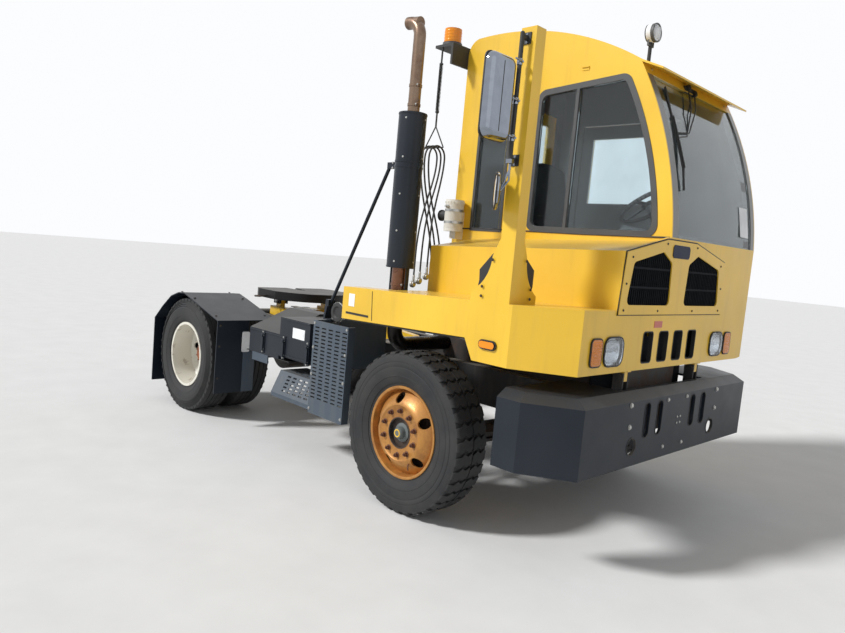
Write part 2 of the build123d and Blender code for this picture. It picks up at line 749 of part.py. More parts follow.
def make_exhaust():
    turn_y = STACK_Y + LOWER_BEND_R
    turn_z = LOWER_PIPE_Z + LOWER_BEND_R
    pipe = rod((STACK_X, STACK_Y, turn_z), (STACK_X, STACK_Y, STACK_STRAIGHT_TOP), STACK_R)
    pipe -= rod((STACK_X, STACK_Y, PIPE_OPEN_Z), (STACK_X, STACK_Y, STACK_STRAIGHT_TOP), STACK_R - STACK_WALL)
    lower_bend = Plane(origin=(STACK_X, STACK_Y, turn_z), z_dir=(0, 0, 1)) * Circle(STACK_R)
    pipe += revolve(lower_bend, Axis((STACK_X, turn_y, turn_z), (1, 0, 0)), revolution_arc=90)
    pipe += pin_y(STACK_X, LOWER_PIPE_Z, turn_y, -ENGINE_HALF_WIDTH - FIT_GAP, STACK_R)
    profile = Plane(origin=(STACK_X, STACK_Y, STACK_STRAIGHT_TOP), z_dir=(0, 0, 1))
    ring = profile * (Circle(STACK_R) - Circle(STACK_R - STACK_WALL))
    bend_axis = Axis((STACK_X - STACK_BEND_R, STACK_Y, STACK_STRAIGHT_TOP), (0, -1, 0))
    elbow = revolve(ring, bend_axis, revolution_arc=STACK_BEND_DEG)
    pipe += elbow
    pipe += block(STACK_X - 50, STACK_X + 50, -RAIL_Y, RAIL_FLANGE - RAIL_Y, RAIL_TOP, LOWER_PIPE_Z - 40)
    shield = rod((STACK_X, STACK_Y, SHIELD_BOTTOM), (STACK_X, STACK_Y, SHIELD_TOP), SHIELD_R)
    shield -= rod((STACK_X, STACK_Y, SHIELD_BOTTOM), (STACK_X, STACK_Y, SHIELD_TOP), SHIELD_R - SHIELD_WALL)
    for z in (SHIELD_BOTTOM + 60, SHIELD_TOP - 60):
        band = rod((STACK_X, STACK_Y, z - 12), (STACK_X, STACK_Y, z + 12), SHIELD_R - SHIELD_WALL + 1)
        band -= rod((STACK_X, STACK_Y, z - 12), (STACK_X, STACK_Y, z + 12), STACK_R + FIT_GAP)
        shield += band
    foot_x, foot_y, foot_z = BRACE_FOOT
    brace = rod(BRACE_FOOT, BRACE_TOP, BRACE_R)
    upright_x = foot_x - BRACE_R - BRACKET_THICK
    bracket = [
        (PANEL_BACK + 40, PANEL_TOP),
        (upright_x - 20, PANEL_TOP),
        (upright_x, foot_z + 30),
        (foot_x + BRACE_R, foot_z + 30),
        (foot_x + BRACE_R, foot_z - 20),
        (upright_x + 20, foot_z - 20),
        (upright_x + BRACKET_THICK - 10, PANEL_TOP + BRACKET_THICK),
        (PANEL_BACK + 40, PANEL_TOP + BRACKET_THICK),
    ]
    brace += slab_xz(bracket, foot_y - 32, foot_y + 32)
    top_x, top_y, top_z = BRACE_TOP
    brace += block(top_x - 18, STACK_X - SHIELD_R + 2, top_y - 14, top_y + 14, top_z - 22, top_z + 22)
    return pipe, shield + brace


def make_side_boxes():
    main = slab_yz(
        [
            (BATTERY_OUT, BATTERY_BOTTOM), (BATTERY_OUT, 915), (BATTERY_IN - 130, 1075),
            (BATTERY_IN, 1075), (BATTERY_IN, BATTERY_BOTTOM),
        ],
        BATTERY_BACK,
        BATTERY_SPLIT,
    )
    second = block(BATTERY_SPLIT, BATTERY_FRONT, BATTERY_OUT, BATTERY_IN, BATTERY_BOTTOM + 30, 1055)
    bracket = block(BATTERY_BACK + 60, BATTERY_FRONT - 60, BATTERY_IN, -RAIL_Y, 730, 790)
    battery = main + second + bracket
    panel = block(PANEL_BACK, PANEL_FRONT, PANEL_Y, PANEL_Y + 8, PANEL_BOTTOM, PANEL_TOP)
    panel += block(PANEL_BACK, PANEL_BACK + 8, PANEL_Y, -RAIL_Y, PANEL_BOTTOM + 300, PANEL_TOP)
    panel += block(PANEL_FRONT - 8, PANEL_FRONT, PANEL_Y, PANEL_Y + 60, PANEL_BOTTOM, PANEL_TOP)
    for column in range(PANEL_SLOTS[0]):
        for row in range(PANEL_SLOTS[1]):
            x = PANEL_SLOT_FIRST[0] + column * PANEL_SLOT_PITCH[0]
            z = PANEL_SLOT_FIRST[1] + row * PANEL_SLOT_PITCH[1]
            panel -= Pos(x, PANEL_Y + 4, z) * Box(PANEL_SLOT_SIZE[0], 20, PANEL_SLOT_SIZE[1])
    return battery, panel + make_step()


def make_step():
    """Step behind the slotted panel: lip, slotted rise and slotted tread bent from one sheet, with end plates."""
    rise_y = PANEL_Y + STEP_RISE[0]
    rise_top = STEP_LIP_TOP + STEP_RISE[1]
    sheet = [
        (PANEL_Y, STEP_LIP_BOTTOM),
        (PANEL_Y, STEP_LIP_TOP),
        (rise_y, rise_top),
        (STEP_TREAD_IN, rise_top),
        (STEP_TREAD_IN, rise_top - SHEET),
        (rise_y + SHEET * 0.6, rise_top - SHEET),
        (PANEL_Y + SHEET, STEP_LIP_TOP - 2),
        (PANEL_Y + SHEET, STEP_LIP_BOTTOM),
    ]
    step = slab_yz(sheet, STEP_BACK, PANEL_BACK + SHEET)
    first_x, first_z = STEP_SLOT_FIRST
    for column in range(STEP_SLOTS[0]):
        x = first_x + column * STEP_SLOT_PITCH[0]
        for row in range(STEP_SLOTS[1]):
            z = first_z + row * STEP_SLOT_PITCH[1]
            y = PANEL_Y + (z - STEP_LIP_TOP) * STEP_RISE[0] / STEP_RISE[1]
            step -= Pos(x, y, z) * Box(STEP_SLOT_SIZE[0], 60, STEP_SLOT_SIZE[1])
    for column in range(TREAD_SLOTS[0]):
        x = first_x + column * TREAD_SLOT_PITCH[0]
        for row in range(TREAD_SLOTS[1]):
            y = rise_y + 60 + row * TREAD_SLOT_PITCH[1]
            step -= Pos(x, y, rise_top) * Box(STEP_SLOT_SIZE[0], 20, 40)
    end = [
        (PANEL_Y, STEP_LIP_BOTTOM),
        (PANEL_Y, STEP_LIP_TOP),
        (rise_y, rise_top),
        (STEP_TREAD_IN, rise_top),
        (STEP_TREAD_IN, rise_top - 60),
        (PANEL_Y + 60, STEP_LIP_BOTTOM),
    ]
    step += slab_yz(end, STEP_BACK, STEP_BACK + SHEET)
    step += block(PANEL_BACK, PANEL_BACK + SHEET, PANEL_Y, STEP_TREAD_IN, STEP_LIP_BOTTOM, PANEL_TOP)
    return step


def make_left_tank():
    tank = rod((X_FRONT - 1500, 800, 720), (X_FRONT - 780, 800, 720), 270)
    steps = block(X_FRONT - 1500, X_FRONT - 780, RAIL_Y, 560, 700, 760)
    return tank + steps


def make_rear_fenders():
    outer = [(X_REAR + dx, z) for dx, z in FENDER_TABLE]
    inner = [(x, z - SHEET) for x, z in reversed(outer)]
    sheet = slab_xz(outer + inner, -FENDER_EDGE_Y, -FENDER_INNER_Y)
    guard_x = X_REAR + FENDER_TABLE[-1][0]
    guard = block(guard_x - SHEET, guard_x, -FENDER_EDGE_Y, -960, GUARD_BOTTOM, FENDER_TABLE[-1][1])
    flap_x = X_REAR + FENDER_TABLE[0][0]
    flap = block(flap_x, flap_x + SHEET, -FENDER_EDGE_Y, -FENDER_INNER_Y, FLAP_BOTTOM, FENDER_TABLE[0][1])
    arms = block(guard_x - 60, guard_x, -FENDER_INNER_Y - 60, -RAIL_Y, 760, 820)
    arms += block(guard_x - 60, guard_x, -FENDER_INNER_Y - 60, -FENDER_INNER_Y, 760, FENDER_TABLE[-1][1] - 1)
    arms += block(flap_x, flap_x + 40, -FENDER_INNER_Y - 10, -RAIL_Y, 790, 830)
    right = sheet + guard + flap + arms
    return right, mirrored(right)


def make_tail_lamps():
    lamps = []
    for side in (-1, 1):
        lamps.append(block(X_TAIL, X_TAIL + 50, side * (RAIL_Y + FIT_GAP), side * (RAIL_Y + 160), 790, 890))
    return lamps


def make_chassis():
    save("frame_rails", make_frame())
    save("front_bumper", make_bumper())
    save("front_axle", make_front_axle())
    save("rear_axle", make_rear_axle())
    save("engine_block", *make_engine())
    pipe, shield = make_exhaust()
    save("exhaust_stack", pipe)
    save("heat_shield", shield)
    battery, panel = make_side_boxes()
    save("battery_box", battery)
    save("side_step", panel)
    save("fuel_tank", make_left_tank())
    save("rear_fenders", *make_rear_fenders())
    save("tail_lamps", *make_tail_lamps())


# Cab

def cab_profile(y):
    """Side view of the cab's outer skin, as one face at y."""
    back_low = (CAB_BACK, y, CAB_BOTTOM)
    back_high = (CAB_BACK, y, ROOF_BACK_Z)
    corner = (CAB_BACK + 34, y, ROOF_PEAK_Z - 34)
    crown = (CAB_BACK + 120, y, ROOF_PEAK_Z)
    brow = (BROW_X, y, BROW_Z)
    waist = (CAB_FRONT, y, WAIST_Z)
    front_low = (CAB_FRONT, y, CAB_BOTTOM)
    edges = [
        Line(back_low, back_high),
        ThreePointArc(back_high, corner, crown),
        ThreePointArc(crown, (ROOF_MID_X, y, ROOF_MID_Z), brow),
        ThreePointArc(brow, (PILLAR_MID_X, y, PILLAR_MID_Z), waist),
        Line(waist, front_low),
        Line(front_low, back_low),
    ]
    return make_face(Wire(edges))


def cab_body(y0, y1, inset):
    """The cab's side view moved in by inset and carried from y0 to y1."""
    face = cab_profile(min(y0, y1))
    if inset:
        face = offset(face, amount=-inset)
    return extrude(face, amount=abs(y1 - y0), dir=(0, 1, 0))


def side_window(inset, y0, y1):
    """Large side window with a raked front edge, shrunk by inset."""
    area = cab_body(y0, y1, PILLAR_DEPTH + inset)
    frame = slab_xz(
        [
            (SIDE_WINDOW_BACK + inset, SIDE_WINDOW_BOTTOM + inset),
            (SIDE_WINDOW_BACK + inset, SIDE_WINDOW_TOP_BACK - inset),
            (BROW_X - 60, SIDE_WINDOW_TOP_FRONT - inset),
            (CAB_FRONT, SIDE_WINDOW_TOP_FRONT - inset),
            (CAB_FRONT, SIDE_WINDOW_BOTTOM + inset),
        ],
        y0,
        y1,
    )
    return area & frame


def framed_window(inset, y0, y1):
    """Side window with rounded corners, shrunk by inset."""
    area = side_window(inset, y0, y1)
    return fillet(area.edges().filter_by(Axis.Y), WINDOW_CORNER - inset * 0.7)


def quarter_window(inset, y0, y1):
    return block(
        QUARTER_BACK + inset, QUARTER_FRONT - inset, y0, y1, QUARTER_BOTTOM + inset, QUARTER_TOP - inset
    )


def make_cab():
    wall_top = cab_body(CAB_RIGHT - 50, CAB_LEFT + 50, CAB_WALL)
    front_cut = block(CAB_FRONT - FRONT_PANEL_THICK, CAB_FRONT + 50, CAB_RIGHT - 50, CAB_LEFT + 50, 900, WAIST_Z)

    roof = cab_body(CAB_RIGHT, CAB_LEFT, 0) - wall_top
    wide = (CAB_RIGHT - 50, CAB_LEFT + 50)
    roof_zone = block(CAB_BACK - 10, BROW_X, *wide, ROOF_BACK_Z, ROOF_PEAK_Z + 50)
    roof_zone += block(CAB_BACK + 300, BROW_X + 120, *wide, HEADER_BOTTOM, ROOF_PEAK_Z + 50)
    roof = roof & roof_zone
    header = block(
        BROW_X - 60, BROW_X, CAB_RIGHT + CAB_WALL, CAB_LEFT - CAB_WALL, HEADER_BOTTOM, BROW_Z - 5
    )
    visor = slab_xz(
        [
            (BROW_X - 20, BROW_Z + 6),
            (BROW_X + 160, BROW_Z - 70),
            (BROW_X + 160, BROW_Z - 82),
            (BROW_X - 20, BROW_Z - 8),
        ],
        CAB_RIGHT,
        CAB_LEFT,
    )
    roof_all = roof + header + visor

    right = cab_body(CAB_RIGHT, CAB_RIGHT + CAB_WALL, 0)
    right_pillar = cab_body(CAB_RIGHT, CAB_RIGHT + PILLAR_RIGHT_WIDTH, 0)
    right_pillar -= cab_body(CAB_RIGHT - 1, CAB_LEFT, PILLAR_DEPTH)
    right_pillar &= block(X_FRONT + 500, CAB_FRONT + 10, CAB_RIGHT - 1, CAB_LEFT, WAIST_Z, HEADER_BOTTOM)
    right += right_pillar
    right -= framed_window(0, CAB_RIGHT - 10, CAB_RIGHT + CAB_WALL + 60)
    right -= quarter_window(0, CAB_RIGHT - 10, CAB_RIGHT + CAB_WALL + 10)
    under_floor = block(CAB_BACK - 10, CAB_FRONT, CAB_RIGHT - 10, CAB_RIGHT + CAB_WALL + 10, 1000, SIDE_SILL)
    right = right - roof_all - front_cut - under_floor

    left = cab_body(CAB_LEFT - CAB_WALL, CAB_LEFT, 0)
    left_pillar = cab_body(CAB_LEFT - PILLAR_LEFT_WIDTH, CAB_LEFT, 0)
    left_pillar -= cab_body(CAB_RIGHT, CAB_LEFT + 1, PILLAR_DEPTH)
    left_pillar &= block(X_FRONT + 500, CAB_FRONT + 10, CAB_RIGHT, CAB_LEFT + 1, WAIST_Z, HEADER_BOTTOM)
    left += left_pillar
    left -= block(
        LEFT_DOOR_BACK, LEFT_DOOR_FRONT, CAB_LEFT - CAB_WALL - 10, CAB_LEFT + 10, LEFT_DOOR_BOTTOM, LEFT_DOOR_TOP
    )
    left = left - roof_all - front_cut
    for z in HINGE_Z:
        hinge = (HINGE_X, CAB_LEFT + HINGE_OUT)
        for low in (z - HINGE_LUG - FIT_GAP, z + HINGE_HEIGHT + FIT_GAP):
            left += rod((*hinge, low), (*hinge, low + HINGE_LUG), HINGE_R)
            left += block(HINGE_X, HINGE_X + 40, CAB_LEFT, CAB_LEFT + HINGE_OUT, low, low + HINGE_LUG)
        left += rod((*hinge, z - HINGE_LUG), (*hinge, z + HINGE_HEIGHT + HINGE_LUG), HINGE_PIN_R)

    inner_right = CAB_RIGHT + CAB_WALL
    inner_left = CAB_LEFT - CAB_WALL
    rear = block(CAB_BACK, CAB_BACK + CAB_WALL, inner_right, inner_left, CAB_BOTTOM, ROOF_BACK_Z)
    rear -= block(
        CAB_BACK - 10, CAB_BACK + CAB_WALL + 10, REAR_DOOR_RIGHT, REAR_DOOR_LEFT, REAR_DOOR_BOTTOM, REAR_DOOR_TOP
    )
    for z in (REAR_DOOR_BOTTOM - DOOR_RAIL_DROP, REAR_DOOR_TOP + 40):
        rear += block(
            CAB_BACK - 22, CAB_BACK, REAR_DOOR_RIGHT - REAR_DOOR_TRAVEL - 40, REAR_DOOR_LEFT + 40,
            z, z + DOOR_RAIL_HEIGHT,
        )
    rear += block(
        CAB_BACK - 40, CAB_BACK, -110, 40, MANIFOLD_Z - MANIFOLD_HALF, MANIFOLD_Z + MANIFOLD_HALF
    )
    rear = rear - roof_all

    floor = block(
        CAB_BACK + CAB_WALL, FLOOR_FRONT, inner_right, inner_left, FLOOR_TOP - FLOOR_THICK, FLOOR_TOP
    )

    save("cab_roof", roof_all)
    save("cab_right_wall", right)
    save("cab_left_wall", left)
    save("cab_rear_wall", rear)
    save("cab_floor", floor)

    shell = cab_body(CAB_RIGHT + PILLAR_RIGHT_WIDTH + FIT_GAP, CAB_LEFT - PILLAR_LEFT_WIDTH - FIT_GAP, 8)
    shell -= cab_body(CAB_RIGHT, CAB_LEFT, 8 + GLASS)
    glass_zone = block(
        X_FRONT + 600, CAB_FRONT + 10, CAB_RIGHT, CAB_LEFT, WAIST_Z + FIT_GAP, HEADER_BOTTOM - FIT_GAP
    )
    windshield = shell & glass_zone
    glass_y = CAB_RIGHT + 14
    ring_y = (CAB_RIGHT - RING_PROUD, CAB_RIGHT + CAB_WALL - 2)
    ring = framed_window(FIT_GAP, *ring_y) - framed_window(WINDOW_RING, ring_y[0] - 5, ring_y[1] + 5)
    mullion = block(
        MULLION_X - MULLION_WIDTH / 2, MULLION_X + MULLION_WIDTH / 2, *ring_y,
        SIDE_WINDOW_BOTTOM + 10, SIDE_WINDOW_TOP_FRONT,
    )
    mullion &= framed_window(FIT_GAP + 5, *ring_y)
    ring += mullion
    quarter_ring = quarter_window(FIT_GAP, *ring_y) - quarter_window(QUARTER_RING, ring_y[0] - 5, ring_y[1] + 5)
    save("window_frames", ring, quarter_ring)
    side_pane = framed_window(WINDOW_RING + FIT_GAP, glass_y, glass_y + GLASS)
    side_pane -= block(
        MULLION_X - MULLION_WIDTH / 2 - FIT_GAP, MULLION_X + MULLION_WIDTH / 2 + FIT_GAP,
        glass_y - 5, glass_y + GLASS + 5, SIDE_WINDOW_BOTTOM, SIDE_WINDOW_TOP_FRONT,
    )
    quarter_pane = quarter_window(QUARTER_RING + FIT_GAP, glass_y, glass_y + GLASS)
    save("cab_glass", windshield, side_pane, quarter_pane)


def make_doors():
    y_out = CAB_LEFT - 1
    y_in = y_out - DOOR_THICK
    back = LEFT_DOOR_BACK + DOOR_GAP
    front = LEFT_DOOR_FRONT - DOOR_GAP
    bottom = LEFT_DOOR_BOTTOM + DOOR_GAP
    top = LEFT_DOOR_TOP - DOOR_GAP
    door = block(back, front, y_in, y_out, bottom, top)
    pane_back = back + 100
    pane_front = front - 90
    pane_top = top - 110
    door -= block(pane_back, pane_front, y_in - 5, y_out + 5, LEFT_PANE_BOTTOM, pane_top)
    door += block(back + 40, back + 160, y_out, y_out + 30, 2060, 2085)
    for z in HINGE_Z:
        hinge = (HINGE_X, CAB_LEFT + HINGE_OUT)
        door += block(HINGE_X - 70, front, y_out, CAB_LEFT + HINGE_OUT - 4, z, z + HINGE_HEIGHT)
        door += block(HINGE_X - 70, HINGE_X, CAB_LEFT + 1, CAB_LEFT + HINGE_OUT - 4, z, z + HINGE_HEIGHT)
        door += rod((*hinge, z), (*hinge, z + HINGE_HEIGHT), HINGE_R)
        door -= rod((*hinge, z - 5), (*hinge, z + HINGE_HEIGHT + 5), HINGE_PIN_R + RUNNING_GAP)
    pane = block(
        pane_back + FIT_GAP, pane_front - FIT_GAP, y_in + 12, y_in + 12 + GLASS,
        LEFT_PANE_BOTTOM + FIT_GAP, pane_top - FIT_GAP,
    )
    save("left_door", door)
    save("left_door_glass", pane)

    x_in = CAB_BACK - 6
    x_out = x_in - DOOR_THICK
    overlap = 12
    seat_z = REAR_DOOR_BOTTOM - DOOR_RAIL_DROP + DOOR_RAIL_HEIGHT + FIT_GAP
    rear = block(
        x_out, x_in, REAR_DOOR_RIGHT - overlap, REAR_DOOR_LEFT + overlap, seat_z, REAR_DOOR_TOP + 34
    )
    pane_z = (REAR_DOOR_BOTTOM + 560, REAR_DOOR_TOP - 90)
    pane_y = (REAR_DOOR_RIGHT + 80, REAR_DOOR_LEFT - 80)
    rear -= block(x_out - 5, x_in + 5, pane_y[0], pane_y[1], pane_z[0], pane_z[1])
    rear_pane = block(
        x_out + 12, x_out + 12 + GLASS, pane_y[0] + FIT_GAP, pane_y[1] - FIT_GAP,
        pane_z[0] + FIT_GAP, pane_z[1] - FIT_GAP,
    )
    save("rear_door", rear)
    save("rear_door_glass", rear_pane)


def hood_top(y, x_share):
    """Height of the hood's top at y, falling towards its back."""
    share = (CAB_RIGHT - y) / (CAB_RIGHT - HOOD_Y)
    return HOOD_TOP_INNER + (HOOD_TOP_OUTER - HOOD_TOP_INNER) * share - HOOD_FALL * x_share


def make_front_body():
    x0 = CAB_FRONT - FRONT_PANEL_THICK
    slope = (CHAMFER_Y - FENDER_Y) / (CAB_FRONT - CHAMFER_BACK)
    back_edge = CHAMFER_Y - slope * FRONT_PANEL_THICK
    outline = [
        (back_edge, FENDER_BOTTOM_FRONT),
        (back_edge, FENDER_TOP_FRONT),
        (HOOD_Y, FENDER_TOP_FRONT),
        (HOOD_Y, HOOD_TOP_OUTER),
        (CAB_RIGHT, WAIST_Z),
        (CAB_LEFT, WAIST_Z),
        (CAB_LEFT, CAB_BOTTOM),
        (CAB_LEFT - 80, FENDER_BOTTOM_FRONT),
    ]
    panel = slab_yz(outline, x0, CAB_FRONT)
    panel -= slab_xy(
        [(x0, back_edge), (CAB_FRONT, CHAMFER_Y), (CAB_FRONT + 5, CHAMFER_Y), (CAB_FRONT + 5, back_edge - 5),
         (x0, back_edge - 5)],
        FENDER_BOTTOM_FRONT - 5,
        FENDER_TOP_FRONT + 5,
    )
    hole = [(y * 0.93, z + (20 if z < 1500 else -35)) for y, z in GRILLE_TABLE]
    panel -= slab_yz(hole, x0 - 5, CAB_FRONT + 5)
    for index in range(4):
        y = (index - 1.5) * AIR_SLOT_PITCH
        panel -= rounded_plate_yz(y, AIR_SLOT_Z, AIR_SLOT_WIDTH, AIR_SLOT_HEIGHT, 22, x0 - 5, CAB_FRONT + 5)
    for side in (-1, 1):
        panel -= rounded_plate_yz(
            side * HEADLAMP_Y, LAMP_Z, HEADLAMP_WIDTH, HEADLAMP_HEIGHT, 50, x0 - 5, CAB_FRONT + 5
        )
        panel -= rounded_plate_yz(
            side * TURN_LAMP_Y, LAMP_Z, TURN_LAMP_WIDTH, TURN_LAMP_HEIGHT, 25, x0 - 5, CAB_FRONT + 5
        )
        lug = block(TILT_X - 24, TILT_X + 24, side * TILT_Y - 18, side * TILT_Y + 18, TILT_Z - 24, FENDER_BOTTOM_FRONT)
        lug += block(
            TILT_X - 24, CAB_FRONT, side * TILT_Y - 18, side * TILT_Y + 18,
            FENDER_BOTTOM_FRONT - 6, FENDER_BOTTOM_FRONT + 26,
        )
        lug -= pin_y(TILT_X, TILT_Z, side * TILT_Y - 30, side * TILT_Y + 30, TILT_PIN_R + RUNNING_GAP)
        panel += lug
    save("front_panel", panel)

    save("grille_panel", make_grille())
    save("grille_mesh", *make_mesh())

    lamps = []
    for side in (-1, 1):
        lamps.append(rounded_plate_yz(
            side * HEADLAMP_Y, LAMP_Z, HEADLAMP_WIDTH - 1, HEADLAMP_HEIGHT - 1, 49, x0, CAB_FRONT + 12
        ))
        lamps.append(rounded_plate_yz(
            side * TURN_LAMP_Y, LAMP_Z, TURN_LAMP_WIDTH - 1, TURN_LAMP_HEIGHT - 1, 24, x0, CAB_FRONT + 12
        ))
    for y, outward in ((FENDER_Y, -1), (CAB_LEFT, 1)):
        plane = Plane(origin=(MARKER_X, y, MARKER_Z), x_dir=(1, 0, 0), z_dir=(0, outward, 0))
        lamps.append(extrude(plane * SlotOverall(MARKER_LENGTH, MARKER_HEIGHT), amount=MARKER_PROUD))
    save("front_lamps", *lamps)

    hood_out = hood_solid(0)
    hood_in = hood_solid(SHEET)
    save("hood", hood_out - hood_in)

    save("right_fender", make_fender(x0))


def make_grille():
    """Bolted panel over the cooling pack, with two windows."""
    grille = slab_yz(GRILLE_TABLE, CAB_FRONT, CAB_FRONT + GRILLE_THICK)
    for side in (-1, 1):
        window = [(side * y, z) for y, z in GRILLE_WINDOW]
        grille -= rounded_slab_yz(window, GRILLE_CORNER, CAB_FRONT - 5, CAB_FRONT + GRILLE_THICK + 5)
    return grille


def make_mesh():
    """Upright bars with two cross bars behind each window of the grille."""
    back = CAB_FRONT - MESH_DEPTH
    outline = [(y * 0.93, z + (20.5 if z < 1500 else -35.5)) for y, z in GRILLE_TABLE]
    field = slab_yz(outline, back, CAB_FRONT)
    window_y = [y for y, z in GRILLE_WINDOW]
    window_z = [z for y, z in GRILLE_WINDOW]
    meshes = []
    for side in (-1, 1):
        low_y, high_y = min(window_y) - 10, max(window_y) + 10
        low_z, high_z = min(window_z) - 15, max(window_z) + 15
        bars = None
        for index in range(int((high_y - low_y) / MESH_PITCH) + 1):
            y = side * (low_y + index * MESH_PITCH)
            bar = block(back, CAB_FRONT, y, y + side * MESH_BAR, low_z, high_z)
            bars = bar if bars is None else bars + bar
        for share in (0, 0.33, 0.66, 1):
            z = low_z + (high_z - low_z - 12) * share
            bars += block(back, CAB_FRONT, side * low_y, side * high_y, z, z + 12)
        meshes.append(bars & field)
    return meshes


def hood_solid(inset):
    """Hood wedge from the cab's right wall to the fender's inner edge, moved in by inset."""
    front = CAB_FRONT - FRONT_PANEL_THICK
    if inset:
        front += 1
    y_out = HOOD_Y + inset
    y_in = CAB_RIGHT if not inset else CAB_RIGHT + 1
    base = FENDER_TOP_BACK - 60
    low_face = []
    for x, fall in ((front, 0), (HOOD_BACK_HIGH + inset, 1)):
        outline = [(y_out, base - inset), (y_out, hood_top(HOOD_Y, fall) - inset),
                   (y_in, hood_top(CAB_RIGHT, fall) - inset), (y_in, base - inset)]
        low_face.append(make_face(Polyline([(x, y, z) for y, z in outline], close=True)))
    return loft(low_face)


def make_fender(x_front):
    """Right fender: top, outer side and chamfer, with the wheel arch and the notch for the stack."""
    def plan(inset):
        slope = (CHAMFER_Y - FENDER_Y) / (CAB_FRONT - CHAMFER_BACK)
        edge = CHAMFER_Y - slope * (CAB_FRONT - x_front)
        return [
            (FENDER_BACK + (0 if not inset else -1), FENDER_Y + inset),
            (CHAMFER_BACK - inset * 0.3, FENDER_Y + inset),
            (x_front + (0 if not inset else 1), edge + inset * 1.2),
            (x_front + (0 if not inset else 1), HOOD_Y - (0 if not inset else -1)),
            (FENDER_BACK + (0 if not inset else -1), HOOD_Y - (0 if not inset else -1)),
        ]
    side_view = [
        (FENDER_BACK, ARCH_Z_BACK),
        (FENDER_BACK, FENDER_TOP_BACK),
        (x_front, FENDER_TOP_FRONT),
        (x_front, FENDER_BOTTOM_FRONT),
        (ARCH_LOW_X, FENDER_BOTTOM_FRONT),
        (ARCH_HIGH_X, ARCH_Z_FRONT),
    ]
    under_view = [
        (FENDER_BACK - 5, 1000),
        (FENDER_BACK - 5, FENDER_TOP_BACK - SHEET),
        (x_front + 5, FENDER_TOP_FRONT - SHEET),
        (x_front + 5, 1000),
    ]
    solid = slab_xy(plan(0), 1000, 1600) & slab_xz(side_view, FENDER_Y - 10, HOOD_Y + 10)
    hollow = slab_xy(plan(SHEET), 900, 1700) & slab_xz(under_view, FENDER_Y - 10, HOOD_Y + 10)
    solid -= hollow
    solid -= block(FENDER_BACK - 5, NOTCH_FRONT, NOTCH_OUTER, HOOD_Y + 5, 900, 1700)
    return solid


def gusset(reach, root, base, plane, thick):
    """Flared plate at the post's foot with a hollow edge, from reach at its base up to root."""
    def out(share):
        return root + (reach - root) * share

    edges = [
        Line((root, base), (reach, base)),
        Line((reach, base), (reach, base + GUSSET_FOOT)),
        ThreePointArc(
            (reach, base + GUSSET_FOOT), (out(0.46), base + GUSSET_MID), (out(0.26), base + GUSSET_NECK)
        ),
        Line((out(0.26), base + GUSSET_NECK), (root, GUSSET_TOP)),
        Line((root, GUSSET_TOP), (root, base)),
    ]
    return extrude(plane * make_face(Wire(edges)), amount=thick)


def make_post():
    x0 = POST_FRONT - POST_DEPTH
    y0 = FENDER_Y
    y1 = FENDER_Y + POST_WIDTH
    base = FENDER_TOP_FRONT - 20
    post = block(x0, POST_FRONT, y0, y1, base, POST_TOP)
    post += gusset(GUSSET_BACK, x0 + 1, base, Plane(origin=(0, y0, 0), x_dir=(1, 0, 0), z_dir=(0, -1, 0)), -SHEET)
    post += gusset(GUSSET_IN, y1 - 1, base, Plane(origin=(POST_FRONT, 0, 0), x_dir=(0, 1, 0), z_dir=(1, 0, 0)), -SHEET)
    top_plane = slab_xz(
        [
            (FENDER_BACK, FENDER_TOP_BACK),
            (CAB_FRONT - FRONT_PANEL_THICK, FENDER_TOP_FRONT),
            (CAB_FRONT, 1000),
            (FENDER_BACK, 1000),
        ],
        FENDER_Y - 50,
        0,
    )
    return post - top_plane


def mirror_head(side):
    """Tall mirror, its tube bracket and the round mirror below, on one side."""
    tube_y = side * (abs(FENDER_Y) + MIRROR_STANDOFF)
    head_in = tube_y + side * MIRROR_CLEAR
    head_out = head_in + side * MIRROR_WIDTH
    head = rounded_plate_yz(
        (head_in + head_out) / 2, (MIRROR_BOTTOM + MIRROR_TOP) / 2, MIRROR_WIDTH, MIRROR_TOP - MIRROR_BOTTOM,
        MIRROR_CORNER, MIRROR_X - 30, MIRROR_X + 20,
    )
    head = fillet(head.faces().sort_by(Axis.X)[-1].edges(), MIRROR_CROWN)
    tube = rod((MIRROR_X, tube_y, MIRROR_TUBE_BOTTOM), (MIRROR_X, tube_y, MIRROR_TUBE_TOP), MIRROR_TUBE_R)
    head += tube
    for z in (MIRROR_BOTTOM + 25, MIRROR_TOP - 25):
        head += block(MIRROR_X - 8, MIRROR_X + 8, tube_y, head_in + side * 5, z - 8, z + 8)
    convex_y = tube_y + side * CONVEX_OUT
    back = Vector(MIRROR_X, convex_y, CONVEX_Z)
    front = back + Vector(-0.72, side * 0.69, 0) * CONVEX_THICK
    head += rod(tuple(back), tuple(front), CONVEX_R)
    head += rod((MIRROR_X, tube_y, MIRROR_TUBE_BOTTOM), (MIRROR_X, convex_y, CONVEX_Z), 8)
    wall_y = side * abs(FENDER_Y) if side < 0 else CAB_LEFT
    for z in (MIRROR_TUBE_BOTTOM + 20, MIRROR_TUBE_TOP - 20):
        head += block(MIRROR_X - 10, MIRROR_X + 10, wall_y, tube_y, z - 10, z + 10)
    return head


